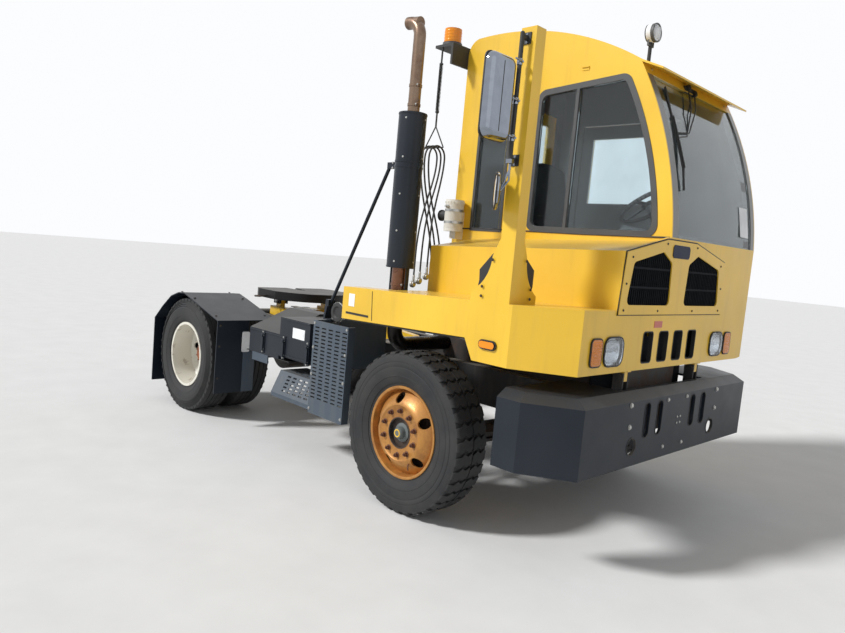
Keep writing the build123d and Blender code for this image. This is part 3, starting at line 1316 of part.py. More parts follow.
def make_cab_fittings():
    save("mirror_post", make_post())
    save("mirrors", mirror_head(-1), mirror_head(1))

    beacon_arm = block(CAB_BACK - 190, CAB_BACK, -330, -140, 3235, 3255)
    beacon_arm += block(CAB_BACK - 20, CAB_BACK, -330, 60, 3100, 3255)
    beacon = rod((CAB_BACK - 110, -230, 3250), (CAB_BACK - 110, -230, 3285), 75)
    beacon += rod((CAB_BACK - 110, -230, 3280), (CAB_BACK - 110, -230, 3390), 66)
    hanger = rod((HOOK_X, HOOK_Y, HANGER_LOOP_Z), (HOOK_X, HOOK_Y, 3240), 7)
    for side in (-1, 1):
        end_x = HOOK_X + side * HOOK_HALF
        hanger += rod((HOOK_X, HOOK_Y, HANGER_LOOP_Z), (end_x, HOOK_Y, HOOK_Z), 5)
    hanger += rod((HOOK_X - HOOK_HALF, HOOK_Y, HOOK_Z), (HOOK_X + HOOK_HALF, HOOK_Y, HOOK_Z), 5)
    lamp_x = X_FRONT + 720
    lamp_y = 75
    work = rod((lamp_x - 20, lamp_y, 3215), (lamp_x + 35, lamp_y, 3215), 58)
    work += rod((lamp_x, lamp_y, 3015), (lamp_x, lamp_y, 3180), 12)
    roof_under = cab_body(CAB_RIGHT - 20, CAB_LEFT + 20, 0)
    work -= roof_under
    save("roof_lamps", beacon_arm + beacon + hanger, work)

    seat = block(X_FRONT - 330, X_FRONT + 170, 400, 900, 1740, 1880)
    seat += slab_xz(
        [
            (X_FRONT - 380, 1800), (X_FRONT - 470, 2500), (X_FRONT - 350, 2500), (X_FRONT - 240, 1800),
        ],
        400,
        900,
    )
    seat += block(X_FRONT - 230, X_FRONT + 90, 520, 780, FLOOR_TOP, 1745)
    save("driver_seat", seat)

    dash = slab_xz(
        [
            (X_FRONT + 780, FLOOR_TOP), (X_FRONT + 700, 1860), (X_FRONT + 760, 1960),
            (X_FRONT + 1040, 1900), (X_FRONT + 1080, 1800), (X_FRONT + 840, FLOOR_TOP),
        ],
        -80,
        1080,
    )
    wheel_centre = (X_FRONT + 590, 560, 2150)
    column_start = (X_FRONT + 760, 560, 1900)
    dash += rod(column_start, wheel_centre, 30)
    axis = Vector(*wheel_centre) - Vector(*column_start)
    rim_plane = Plane(origin=wheel_centre, z_dir=axis)
    dash += rim_plane * Torus(215, 15)
    dash += extrude(rim_plane * (Rectangle(420, 30) + Circle(50)), amount=12)
    save("dashboard", dash)

    canister_y = CAB_RIGHT - 85
    canister = rod((CANISTER_X, canister_y, CANISTER_LOW), (CANISTER_X, canister_y, CANISTER_HIGH), CANISTER_R)
    canister += block(
        CANISTER_X - 30, CANISTER_X + 30, canister_y, CAB_RIGHT, CANISTER_LOW - 55, CANISTER_HIGH - 85
    )
    save("air_canister", canister)


# Hoses, each a tube of straight runs and tangent arcs along its route

# Route points as offsets from the hook, with heights above the ground
HOSE_ROUTES = {
    "air_hose_supply": [
        (80, 240, MANIFOLD_Z), (10, 240, MANIFOLD_Z), (-58, 228, 1250), (-86, 206, 1370), (-84, 184, 1500),
        (-78, 156, 1640), (-70, 112, 1790), (-60, 50, 1930), (-54, -8, 2060), (-50, -56, 2200), (-50, -80, 2340),
        (-46, -78, 2456), (-41, 0, 2501), (-36, 78, 2456), (-33, 79, 2340), (-32, 48, 2200), (-32, -4, 2050),
        (-34, -44, 1890), (-36, -60, 1730), (-36, -62, 1600), (-36, -62, 1480),
    ],
    "air_hose_service": [
        (80, 280, MANIFOLD_Z), (14, 280, MANIFOLD_Z), (-50, 268, 1252), (-66, 244, 1372), (-58, 210, 1500),
        (-46, 172, 1640), (-30, 118, 1790), (-18, 54, 1930), (-12, -8, 2060), (-8, -58, 2200), (-8, -84, 2340),
        (-6, -78, 2456), (0, 0, 2501), (6, 78, 2456), (9, 80, 2340), (9, 52, 2200), (9, 6, 2050),
        (8, -26, 1890), (6, -36, 1740), (6, -38, 1620), (6, -38, 1510),
    ],
    "trailer_cable": [
        (80, 320, MANIFOLD_Z), (22, 320, MANIFOLD_Z), (-38, 308, 1256), (-48, 280, 1376), (-34, 244, 1500),
        (-12, 196, 1640), (10, 132, 1790), (26, 60, 1930), (32, -6, 2060), (34, -54, 2200), (35, -80, 2340),
        (37, -78, 2456), (42, 0, 2501), (47, 78, 2456), (50, 78, 2340), (51, 54, 2200), (51, 22, 2050),
        (52, -2, 1900), (54, -10, 1760), (54, -12, 1650), (54, -12, 1550),
    ],
}


def route_points(name):
    return [(HOOK_X + dx, HOOK_Y + dy, z) for dx, dy, z in HOSE_ROUTES[name]]


def make_hoses():
    """Two air hoses and a cable, looped over the hook, with a coupling hanging from each."""
    couplings = []
    for name in HOSE_ROUTES:
        points = route_points(name)
        save(name, hose_tube(name, points))
        x, y, z = points[-1]
        coupling = rod((x, y, z - COUPLING_NECK), (x, y, z), HOSE_R + 4)
        coupling += rod((x - 16, y, z - COUPLING_NECK - 22), (x + 16, y, z - COUPLING_NECK - 22), COUPLING_R)
        couplings.append(coupling)
    save("hose_couplings", *couplings)


def hose_tube(name, points):
    """Tube of straight runs joined by arcs as large as the runs allow."""
    vectors = [Vector(*point) for point in points]
    runs = [(vectors[i + 1] - vectors[i]) for i in range(len(vectors) - 1)]
    radii = []
    for first, second in zip(runs, runs[1:]):
        turn = math.radians(first.get_angle(second))
        radii.append(0.45 * min(first.length, second.length) / math.tan(turn / 2))
    path = FilletPolyline(*points, radius=radii)
    print(name, "radii", [round(radius) for radius in radii], "length", round(path.length))
    start = Plane(origin=points[0], z_dir=runs[0])
    return sweep(start * Circle(HOSE_R), path=path)


# Lifting boom and fifth wheel

def make_boom():
    arm_view = [
        (BOOM_PIVOT_X, BOOM_PIVOT_Z - BOOM_HUB_R),
        (BOOM_PIVOT_X, BOOM_PIVOT_Z + BOOM_HUB_R),
        (PLATE_PIN_X + 130, 985),
        (PLATE_PIN_X - 110, 985),
        (PLATE_PIN_X - 110, 900),
        (CYLINDER_EYE_X - 60, 850),
        (CYLINDER_EYE_X + 120, 790),
    ]
    boom = None
    for side in (-1, 1):
        y0 = side * (BOOM_ARM_Y - BOOM_ARM_HALF)
        y1 = side * (BOOM_ARM_Y + BOOM_ARM_HALF)
        arm = slab_xz(arm_view, y0, y1) + pin_y(BOOM_PIVOT_X, BOOM_PIVOT_Z, y0, y1, BOOM_HUB_R)
        boom = arm if boom is None else boom + arm
    boom += pin_y(CYLINDER_EYE_X + 40, 890, -BOOM_ARM_Y, BOOM_ARM_Y, 40)
    boom += block(PLATE_PIN_X - 110, PLATE_PIN_X + 90, -BOOM_ARM_Y, BOOM_ARM_Y, 905, 960)
    for side in (-1, 1):
        ear = block(PLATE_PIN_X - 40, PLATE_PIN_X + 40, side * 250, side * 300, 960, PLATE_PIN_Z + 10)
        ear += pin_y(PLATE_PIN_X, PLATE_PIN_Z, side * 250, side * 300, 44)
        boom += ear
        for offset_y in (-1, 1):
            mid = side * CYLINDER_Y
            y_in = mid + offset_y * 32
            y_out = mid + offset_y * 46
            boom += block(CYLINDER_EYE_X - 34, CYLINDER_EYE_X + 34, y_in, y_out, CYLINDER_EYE_Z - 34, 900)
    boom -= pin_y(BOOM_PIVOT_X, BOOM_PIVOT_Z, -600, 600, BOOM_PIN_R + RUNNING_GAP)
    boom -= pin_y(PLATE_PIN_X, PLATE_PIN_Z, -600, 600, PLATE_PIN_R + RUNNING_GAP)
    boom += pin_y(CYLINDER_EYE_X + 40, 890, -BOOM_ARM_Y, BOOM_ARM_Y, 40)
    for y in (-CYLINDER_Y, CYLINDER_Y):
        boom += pin_y(CYLINDER_EYE_X, CYLINDER_EYE_Z, y - 46, y + 46, EYE_PIN_R)
    return boom


def plate_outline(inset):
    """The coupling plate's round outline cut to its width, drawn in by inset, over its full depth."""
    half = PLATE_HALF_WIDTH - inset
    plan = Plane(origin=(PLATE_PIN_X, 0, SKIRT_BOTTOM - 3)) * Circle(PLATE_HALF_LENGTH - inset)
    body = extrude(plan, amount=PLATE_TOP + 6 - SKIRT_BOTTOM)
    return body & block(PLATE_PIN_X - 600, PLATE_PIN_X + 600, -half, half, SKIRT_BOTTOM - 3, PLATE_TOP + 3)


def make_fifth_wheel():
    low = PLATE_TOP - PLATE_THICK
    reach = PLATE_PIN_X + PLATE_HALF_LENGTH + 10
    side_view = [
        (reach, SKIRT_BOTTOM),
        (reach, PLATE_TOP),
        (RAMP_START, PLATE_TOP),
        (RAMP_START - RAMP_LENGTH, PLATE_TOP - RAMP_DROP),
        (RAMP_START - RAMP_LENGTH, SKIRT_BOTTOM),
    ]
    under_view = [
        (reach, SKIRT_BOTTOM - 2),
        (reach, low),
        (RAMP_START, low),
        (RAMP_START - RAMP_LENGTH * (low - SKIRT_BOTTOM + 2) / RAMP_DROP, SKIRT_BOTTOM - 2),
    ]
    plate = plate_outline(0) & slab_xz(side_view, -PLATE_HALF_WIDTH - 5, PLATE_HALF_WIDTH + 5)
    plate -= plate_outline(SKIRT_WALL) & slab_xz(under_view, -PLATE_HALF_WIDTH - 5, PLATE_HALF_WIDTH + 5)
    for y in (-RIB_Y, RIB_Y):
        plate += block(PLATE_PIN_X - 300, PLATE_PIN_X + 435, y - 7, y + 7, SKIRT_BOTTOM + 15, low)
    throat = slab_xy(
        [
            (PLATE_PIN_X - 50, -28), (PLATE_PIN_X - 50, 28), (PLATE_PIN_X - 200, 45), (PLATE_PIN_X - 700, 260),
            (PLATE_PIN_X - 700, -260), (PLATE_PIN_X - 200, -45),
        ],
        SKIRT_BOTTOM - 5,
        PLATE_TOP + 5,
    )
    plate -= throat
    plate -= rod((PLATE_PIN_X - 30, 0, low - 5), (PLATE_PIN_X - 30, 0, PLATE_TOP + 5), 30)
    for side in (-1, 1):
        for inner, outer in ((228, 244), (306, 322)):
            plate += block(PLATE_PIN_X - 55, PLATE_PIN_X + 55, side * inner, side * outer, PLATE_PIN_Z - 30, low)
        plate += pin_y(PLATE_PIN_X, PLATE_PIN_Z, side * 228, side * 322, PLATE_PIN_R)
    return plate


def make_cylinders():
    base = Vector(CYLINDER_BASE_X, 0, CYLINDER_BASE_Z)
    eye = Vector(CYLINDER_EYE_X, 0, CYLINDER_EYE_Z)
    along = (eye - base).normalized()
    barrels = []
    rods = []
    for y in (-CYLINDER_Y, CYLINDER_Y):
        centre = Vector(0, y, 0)

        def on_axis(distance):
            return tuple(base + along * distance + centre)

        barrel = rod(on_axis(CYLINDER_PIN_R + 8), on_axis(BARREL_LENGTH), BARREL_R)
        barrel += pin_y(CYLINDER_BASE_X, CYLINDER_BASE_Z, y - EAR_IN + 3, y + EAR_IN - 3, 40)
        barrel -= rod(on_axis(PISTON_START - 20), on_axis(BARREL_LENGTH + 10), ROD_R + RUNNING_GAP)
        barrel -= pin_y(CYLINDER_BASE_X, CYLINDER_BASE_Z, y - 60, y + 60, CYLINDER_PIN_R + RUNNING_GAP)
        barrels.append(barrel)
        piston = rod(on_axis(PISTON_START), tuple(eye + centre), ROD_R)
        piston += pin_y(CYLINDER_EYE_X, CYLINDER_EYE_Z, y - 25, y + 25, 34)
        piston -= pin_y(CYLINDER_EYE_X, CYLINDER_EYE_Z, y - 40, y + 40, EYE_PIN_R + EYE_CLEARANCE)
        rods.append(piston)
    save("lift_barrels", *barrels)
    save("lift_rods", *rods)


def main():
    os.makedirs("parts", exist_ok=True)
    make_wheels()
    make_steering()
    make_chassis()
    make_cab()
    make_doors()
    make_front_body()
    make_cab_fittings()
    make_hoses()
    save("lift_boom", make_boom())
    save("fifth_wheel", make_fifth_wheel())
    make_cylinders()


main()
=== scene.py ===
import json
import math

import bmesh
import bpy
from mathutils import Matrix, Vector


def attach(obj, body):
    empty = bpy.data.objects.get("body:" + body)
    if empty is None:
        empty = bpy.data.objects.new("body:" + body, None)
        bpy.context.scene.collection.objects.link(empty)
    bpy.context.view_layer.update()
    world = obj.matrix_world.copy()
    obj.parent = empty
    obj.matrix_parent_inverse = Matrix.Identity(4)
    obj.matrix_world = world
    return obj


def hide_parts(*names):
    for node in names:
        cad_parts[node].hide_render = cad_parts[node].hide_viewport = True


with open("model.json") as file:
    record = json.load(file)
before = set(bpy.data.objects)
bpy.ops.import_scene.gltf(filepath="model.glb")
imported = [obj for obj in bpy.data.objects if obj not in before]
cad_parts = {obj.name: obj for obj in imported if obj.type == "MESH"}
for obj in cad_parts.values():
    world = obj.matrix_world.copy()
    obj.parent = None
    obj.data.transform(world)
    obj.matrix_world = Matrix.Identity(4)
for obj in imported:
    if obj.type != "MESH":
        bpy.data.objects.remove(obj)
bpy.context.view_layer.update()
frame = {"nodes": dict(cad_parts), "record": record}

# Places of the vehicle in millimetres, the same as in the part's source
X_FRONT = 1185.5
X_REAR = -1760.5
AXLE_Z = 520
CAB_RIGHT = -150
CAB_LEFT = 1170
CAB_BACK = X_FRONT - 680
FACE = X_FRONT + 1139
HOOK = Vector((X_FRONT - 800, -320, 0))
METRES = 0.001
AHEAD, RIGHT, UP = Vector((1, 0, 0)), Vector((0, -1, 0)), Vector((0, 0, 1))


# Camera

PHOTO_WIDTH = 845
FOCAL_PIXELS = 688.1
SENSOR_WIDTH = 36


def make_camera():
    """Camera solved from the photo: place in metres, heading, pitch, roll and focal length."""
    place = Vector((4.2744, -4.1435, 1.6929))
    yaw, pitch, roll = math.radians(45.18), math.radians(-5.617), math.radians(5.148)
    ahead = Vector((-math.sin(yaw) * math.cos(pitch), math.cos(yaw) * math.cos(pitch), math.sin(pitch)))
    level = Vector((math.cos(yaw), math.sin(yaw), 0))
    upward = level.cross(ahead)
    right = level * math.cos(roll) + upward * math.sin(roll)
    up = upward * math.cos(roll) - level * math.sin(roll)
    turn = Matrix((right, up, -ahead)).transposed().to_4x4()
    data = bpy.data.cameras.new("camera")
    data.sensor_width = SENSOR_WIDTH
    data.lens = FOCAL_PIXELS / PHOTO_WIDTH * SENSOR_WIDTH
    data.clip_end = 200
    camera = bpy.data.objects.new("camera", data)
    camera.matrix_world = Matrix.Translation(place) @ turn
    bpy.context.scene.collection.objects.link(camera)
    bpy.context.scene.camera = camera


# Materials, each from noise and ramps in object coordinates

DUST = (0.42, 0.38, 0.31, 1)
CHIP = (0.16, 0.07, 0.03, 1)
LINING = (0.16, 0.16, 0.155, 1)
FOOT_DARK = (0.012, 0.01, 0.009, 1)


def node(tree, kind, inputs=None, **settings):
    """Add one shader node; inputs are values or sockets by name or index."""
    made = tree.nodes.new(kind)
    for key, value in settings.items():
        setattr(made, key, value)
    for key, value in (inputs or {}).items():
        socket = made.inputs[key]
        if isinstance(value, bpy.types.NodeSocket):
            tree.links.new(value, socket)
        else:
            socket.default_value = value
    return made


def start_material(name):
    material = bpy.data.materials.new(name)
    material.use_nodes = True
    tree = material.node_tree
    tree.nodes.clear()
    out = tree.nodes.new("ShaderNodeOutputMaterial")
    shader = tree.nodes.new("ShaderNodeBsdfPrincipled")
    tree.links.new(shader.outputs[0], out.inputs[0])
    place = tree.nodes.new("ShaderNodeTexCoord").outputs["Object"]
    return material, tree, shader, place


def noise(tree, place, scale, detail=4, rough=0.55, stretch=None):
    """Noise value, with the coordinates scaled first where stretch is given."""
    if stretch:
        place = node(tree, "ShaderNodeMapping", {"Vector": place, "Scale": stretch}).outputs[0]
    inputs = {"Vector": place, "Scale": scale, "Detail": detail, "Roughness": rough}
    return node(tree, "ShaderNodeTexNoise", inputs).outputs["Fac"]


def ramp(tree, value, low, high):
    """Value remapped so that low gives 0 and high gives 1, clamped."""
    return node(tree, "ShaderNodeMapRange", {"Value": value, "From Min": low, "From Max": high}).outputs[0]


def math_node(tree, operation, first, second):
    return node(tree, "ShaderNodeMath", {0: first, 1: second}, operation=operation, use_clamp=True).outputs[0]


def colour_mix(tree, share, first, second):
    return node(tree, "ShaderNodeMix", {0: share, 6: first, 7: second}, data_type="RGBA").outputs[2]


def level(tree, value, low, high):
    """Number between low and high, from a value of 0 to 1."""
    return node(tree, "ShaderNodeMapRange", {"Value": value, "To Min": low, "To Max": high}).outputs[0]


def bump(tree, shader, height, strength, distance):
    made = node(tree, "ShaderNodeBump", {"Height": height, "Strength": strength, "Distance": distance})
    tree.links.new(made.outputs[0], shader.inputs["Normal"])


def connect(tree, shader, colour, rough, constants=None):
    """Link colour and roughness, and set the constants on the sockets they are named for."""
    tree.links.new(colour, shader.inputs["Base Color"])
    tree.links.new(rough, shader.inputs["Roughness"])
    for name, value in (constants or {}).items():
        shader.inputs[name].default_value = value


def axis_value(tree, vector, axis):
    return node(tree, "ShaderNodeSeparateXYZ", {0: vector}).outputs[axis]


def from_to(tree, value, start, end):
    """0 to 1 as a place goes from start to end, both in millimetres."""
    return ramp(tree, value, start * METRES, end * METRES)


def facing_up(tree, low, high):
    """0 to 1 as the upward part of a face's normal goes from low to high."""
    normal = node(tree, "ShaderNodeNewGeometry").outputs["Normal"]
    return ramp(tree, axis_value(tree, normal, "Z"), low, high)


def rgba(colour, share=1):
    return (*(min(1, channel * share) for channel in colour), 1)


def inside_share(tree, place, lined):
    """1 on the inner faces of the cab's walls, or on the ceiling where lined is "roof"."""
    skin, blend = 12, 2
    across, along = axis_value(tree, place, "Y"), axis_value(tree, place, "X")
    shares = [
        from_to(tree, across, CAB_RIGHT + skin - blend, CAB_RIGHT + skin),
        from_to(tree, across, CAB_LEFT - skin + blend, CAB_LEFT - skin),
        from_to(tree, along, CAB_BACK + skin - blend, CAB_BACK + skin),
    ]
    if lined == "roof":
        shares += [facing_up(tree, -0.2, -0.5), from_to(tree, along, X_FRONT + 752, X_FRONT + 748)]
    total = shares[0]
    for share in shares[1:]:
        total = math_node(tree, "MULTIPLY", total, share)
    return total


def paint(name, colour, dirt, rough, dirt_share=0.25, speckle=0.0, coat=0.0, spec=0.5, lined=""):
    """Painted metal: broad fading, streaks running down, dust on top faces, small chips, grey inside."""
    material, tree, shader, place = start_material(name)
    broad = ramp(tree, noise(tree, place, 1.3, 3), 0.3, 0.75)
    streak = ramp(tree, noise(tree, place, 3.2, 5, 0.6, (5, 5, 0.5)), 0.52, 0.85)
    faded = rgba([channel * 1.12 + 0.01 for channel in colour])
    base = colour_mix(tree, broad, rgba(colour, 0.93), faded)
    base = colour_mix(tree, math_node(tree, "MULTIPLY", streak, dirt_share), base, rgba(dirt))
    dust = math_node(tree, "MULTIPLY", facing_up(tree, 0.25, 0.9), dirt_share * 0.5)
    base = colour_mix(tree, dust, base, DUST)
    if speckle:
        chips = ramp(tree, noise(tree, place, 38, 6, 0.7), 0.7, 0.74)
        base = colour_mix(tree, math_node(tree, "MULTIPLY", chips, speckle), base, CHIP)
    if lined:
        base = colour_mix(tree, inside_share(tree, place, lined), base, LINING)
    gloss = level(tree, noise(tree, place, 5, 4), rough - 0.08, rough + 0.14)
    constants = {"Specular IOR Level": spec, "Coat Weight": coat, "Coat Roughness": 0.12}
    connect(tree, shader, base, gloss, constants)
    bump(tree, shader, noise(tree, place, 60, 3), 0.06, 0.002)
    return material


def rubber(name, colour, dust, rough=0.75, dust_share=0.6):
    material, tree, shader, place = start_material(name)
    patches = ramp(tree, noise(tree, place, 6, 6, 0.65), 0.35, 0.75)
    base = colour_mix(tree, math_node(tree, "MULTIPLY", patches, dust_share), rgba(colour), rgba(dust))
    connect(tree, shader, base, level(tree, patches, rough - 0.1, rough + 0.12))
    bump(tree, shader, noise(tree, place, 90, 4), 0.15, 0.002)
    return material


def rusty(name, colour, rust, share_low, share_high, rough=0.5, metal=0.2, dark_foot=False):
    """Painted or bare metal with patches of rust, and where asked, a more worn band lower down and a
    near-black foot.
    """
    material, tree, shader, place = start_material(name)
    patch = ramp(tree, noise(tree, place, 9, 8, 0.7), share_low, share_high)
    grain = noise(tree, place, 70, 5, 0.7)
    deep = colour_mix(tree, ramp(tree, grain, 0.35, 0.7), rgba(rust), rgba(rust, 0.45))
    base = colour_mix(tree, patch, rgba(colour), deep)
    if dark_foot:
        height = axis_value(tree, place, "Z")
        worn = colour_mix(tree, patch, rgba(rust, 1.6), rgba(rust))
        base = colour_mix(tree, from_to(tree, height, 2600, 1500), base, worn)
        # Near-black towards the bottom, below about 1400 mm.
        base = colour_mix(tree, from_to(tree, height, 1400, 1280), base, FOOT_DARK)
    connect(tree, shader, base, level(tree, patch, rough - 0.1, rough + 0.3), {"Metallic": metal})
    bump(tree, shader, grain, 0.25, 0.003)
    return material


def plastic(name, colour, rough, grain=0.1, change=0.13, spec=0.5):
    """Moulded plastic, with its tone varied by the share change."""
    material, tree, shader, place = start_material(name)
    tone = ramp(tree, noise(tree, place, 8, 4), 0.3, 0.7)
    base = colour_mix(tree, tone, rgba(colour, 1 - change), rgba(colour, 1 + change))
    gloss = level(tree, tone, rough - 0.05, rough + 0.08)
    connect(tree, shader, base, gloss, {"Specular IOR Level": spec})
    bump(tree, shader, noise(tree, place, 150, 2), grain, 0.001)
    return material


def clear(name, colour, rough=0.02, through=1.0):
    material, tree, shader, place = start_material(name)
    haze = ramp(tree, noise(tree, place, 4, 5), 0.35, 0.8)
    base = colour_mix(tree, haze, rgba(colour), rgba(colour, 0.92))
    gloss = level(tree, haze, rough, rough + 0.05)
    connect(tree, shader, base, gloss, {"Transmission Weight": through, "IOR": 1.45})
    return material


def polished(name, colour, rough, smears=0.12):
    material, tree, shader, place = start_material(name)
    smear = ramp(tree, noise(tree, place, 14, 5), 0.4, 0.8)
    base = colour_mix(tree, smear, rgba(colour), rgba(colour, 0.8))
    connect(tree, shader, base, level(tree, smear, rough, rough + smears), {"Metallic": 1})
    return material


YELLOW = (0.82, 0.505, 0.026)
M = {
    **{
        name: paint(name + "_paint", YELLOW, (0.36, 0.2, 0.05), 0.34, 0.22, 0.25, coat=0.35, lined=lined)
        for name, lined in (("yellow", ""), ("cab", "wall"), ("roof", "roof"))
    },
    # The blue in the black paint's colour and in its streak colour is a painted reflection of the sky on
    # near-black paint.
    "black": paint("black_paint", (0.007, 0.012, 0.02), (0.022, 0.028, 0.036), 0.32, 0.12, 0.1, spec=0.3),
    "box_dark": paint("box_paint", (0.01, 0.014, 0.021), (0.04, 0.039, 0.038), 0.42, 0.25, 0.12, spec=0.28),
    "blue_grey": paint("blue_grey_paint", (0.05, 0.07, 0.095), (0.16, 0.15, 0.13), 0.5, 0.4, 0.2),
    "frame_black": paint("frame_black", (0.018, 0.018, 0.019), (0.12, 0.1, 0.08), 0.6, 0.6, 0.5),
    "cast": rusty("cast_metal", (0.035, 0.032, 0.03), (0.14, 0.07, 0.035), 0.45, 0.8, 0.65, 0.1),
    "tyre": rubber("tyre_rubber", (0.01, 0.011, 0.013), (0.07, 0.067, 0.062), 0.75, 0.5),
    "rust_rim": rusty("rust_rim", (0.52, 0.245, 0.06), (0.27, 0.105, 0.035), 0.42, 0.8, 0.4, 0.35),
    "nut": rusty("wheel_nut", (0.105, 0.045, 0.028), (0.16, 0.055, 0.03), 0.4, 0.75, 0.5, 0.3),
    "hub": rusty("rusty_hub", (0.3, 0.1, 0.045), (0.16, 0.055, 0.03), 0.35, 0.75, 0.6, 0.1),
    "cap": plastic("hub_cap_grey", (0.135, 0.155, 0.15), 0.45),
    "white_rim": rusty("white_rim", (0.74, 0.72, 0.63), (0.24, 0.12, 0.05), 0.56, 0.74, 0.45, 0.0),
    "glass": clear("tinted_glass", (0.8, 0.89, 0.92)),
    "lens": clear("lamp_lens", (0.92, 0.94, 0.96), 0.05),
    "amber": clear("amber_lens", (1.0, 0.33, 0.01), 0.08, 0.15),
    "red": clear("red_lens", (0.6, 0.015, 0.015), 0.08, 0.3),
    "red_label": plastic("red_label", (0.62, 0.17, 0.13), 0.4),
    "lamp_body": plastic("lamp_body", (0.02, 0.02, 0.02), 0.55),
    "chrome": polished("mirror_chrome", (0.3, 0.33, 0.38), 0.06, smears=0.03),
    "reflector": polished("lamp_reflector", (0.8, 0.82, 0.84), 0.1),
    "white": plastic("white_lens", (0.8, 0.82, 0.85), 0.2),
    "bright": polished("steel_bright", (0.42, 0.42, 0.42), 0.3),
    "zinc": polished("zinc_plated", (0.5, 0.5, 0.48), 0.35),
    "seat": rubber("seat_cloth", (0.022, 0.022, 0.025), (0.06, 0.055, 0.05), 0.85, 0.3),
    "dash": plastic("dash_plastic", (0.16, 0.165, 0.17), 0.6),
    "beige": plastic("canister_plastic", (0.76, 0.73, 0.65), 0.45, change=0.02),
    "hose": rubber("hose_rubber", (0.012, 0.012, 0.012), (0.05, 0.045, 0.04), 0.5, 0.4),
    "grease": paint("greased_black", (0.007, 0.007, 0.008), (0.03, 0.025, 0.02), 0.42, 0.3, 0.0, spec=0.25),
    "copper": rusty(
        "copper_pipe", (0.24, 0.165, 0.115), (0.13, 0.06, 0.035), 0.42, 0.8, 0.36, 0.6, dark_foot=True
    ),
    # Near-black with weak specular: painted shade behind the grille and bumper openings; also the grille mesh
    # and the switches.
    "dark": plastic("shade_and_black_plastic", (0.011, 0.013, 0.016), 0.8, spec=0.12),
    "paper": plastic("white_paper", (0.82, 0.83, 0.84), 0.7),
    "seal": rubber("rubber_seal", (0.014, 0.014, 0.015), (0.05, 0.05, 0.048), 0.6, 0.3),
    "grey_trim": plastic("grey_trim", (0.085, 0.085, 0.085), 0.55),
    "window_seal": rubber("window_seal", (0.055, 0.057, 0.06), (0.1, 0.1, 0.1), 0.5, 0.3),
    "badge": plastic("badge_blue", (0.006, 0.012, 0.04), 0.35, spec=0.15),
    "silver": polished("mirror_glass", (0.8, 0.82, 0.84), 0.015),
}

SLOT_MATERIALS = {
    "yellow_paint": "yellow", "black_paint": "black", "blue_grey_paint": "blue_grey",
    "frame_black": "frame_black", "cast_metal": "cast", "tyre_rubber": "tyre", "rust_rim": "rust_rim",
    "white_rim": "white_rim", "tinted_glass": "glass", "lamp_lens": "lens", "lamp_body": "lamp_body",
    "mirror_chrome": "chrome", "seat_cloth": "seat", "dash_plastic": "dash", "canister_plastic": "beige",
    "hose_rubber": "hose", "window_seal": "window_seal", "steel_bright": "bright",
    "greased_black": "grease", "copper_pipe": "copper",
}

# Nodes whose paint differs from their slot's
NODE_MATERIALS = {
    "battery_box": "box_dark", "grille_mesh": "dark", "cab_roof": "roof", "cab_right_wall": "cab",
    "cab_left_wall": "cab", "cab_rear_wall": "cab", "left_door": "cab", "rear_door": "cab",
}


def dress_nodes():
    """Give every CAD node the material of its record slot."""
    for part in frame["record"]["subparts"]:
        shape = frame["nodes"][part["node"]]
        material = M[NODE_MATERIALS.get(part["node"], SLOT_MATERIALS[part["material_slot"]])]
        for slot in shape.material_slots:
            slot.material = material


# Mesh building, with every shape put into a bmesh in millimetres

def new_shapes(count):
    """Empty shapes, one for each piece about to be built."""
    return [bmesh.new() for _ in range(count)]


def front(x, y, z):
    """Point with its x given from the front axle."""
    return Vector((X_FRONT + x, y, z))


def rear(x, y, z):
    """Point with its x given from the rear axle."""
    return Vector((X_REAR + x, y, z))


def around(place, radius, angle, flat=False):
    """Point at a radius and an angle in degrees round a place, upright in XZ, or in XY where flat."""
    across, up = radius * math.cos(math.radians(angle)), radius * math.sin(math.radians(angle))
    return Vector(place) + Vector((across, up, 0) if flat else (across, 0, up))


def turn_to(axis):
    """Rotation that takes +Z to the given axis."""
    return Vector(axis).to_track_quat("Z", "Y").to_matrix().to_4x4()


def put_box(shape, centre, size, turn=None):
    matrix = Matrix.Translation(centre) @ (turn or Matrix()) @ Matrix.Diagonal((*size, 1))
    bmesh.ops.create_cube(shape, size=1, matrix=matrix)


def put_lathe(shape, profile, origin, axis, segments=32, close=True, loop=False):
    """Turn a profile of (along, radius) points about an axis; loop joins its last point to its first."""
    matrix = Matrix.Translation(origin) @ turn_to(axis)
    rings = []
    for along, radius in profile:
        count = 1 if radius < 1e-5 else segments
        turns = [2 * math.pi * index / segments for index in range(count)]
        rings.append([
            shape.verts.new(matrix @ Vector((radius * math.cos(turn), radius * math.sin(turn), along)))
            for turn in turns
        ])
    if loop:
        rings.append(rings[0])
    for first, second in zip(rings, rings[1:]):
        for index in range(segments):
            after = (index + 1) % segments
            corners = [first[index % len(first)], first[after % len(first)],
                       second[after % len(second)], second[index % len(second)]]
            unique = list(dict.fromkeys(corners))
            if len(unique) > 2:
                shape.faces.new(unique)
    if close and not loop:
        for ring in (rings[0], rings[-1]):
            if len(ring) > 2:
                shape.faces.new(ring)


def put_rod(shape, start, end, radius, segments=16, tip=None):
    """Round bar between two points, tapered to the tip radius where one is given."""
    start, end = Vector(start), Vector(end)
    length = (end - start).length
    put_lathe(shape, [(0, radius), (length, tip or radius)], start, end - start, segments)


def bridge(shape, loops):
    """Quads between each loop of vertices and the next."""
    count = len(loops[0])
    for first, second in zip(loops, loops[1:]):
        for index in range(count):
            after = (index + 1) % count
            shape.faces.new((first[index], first[after], second[after], second[index]))


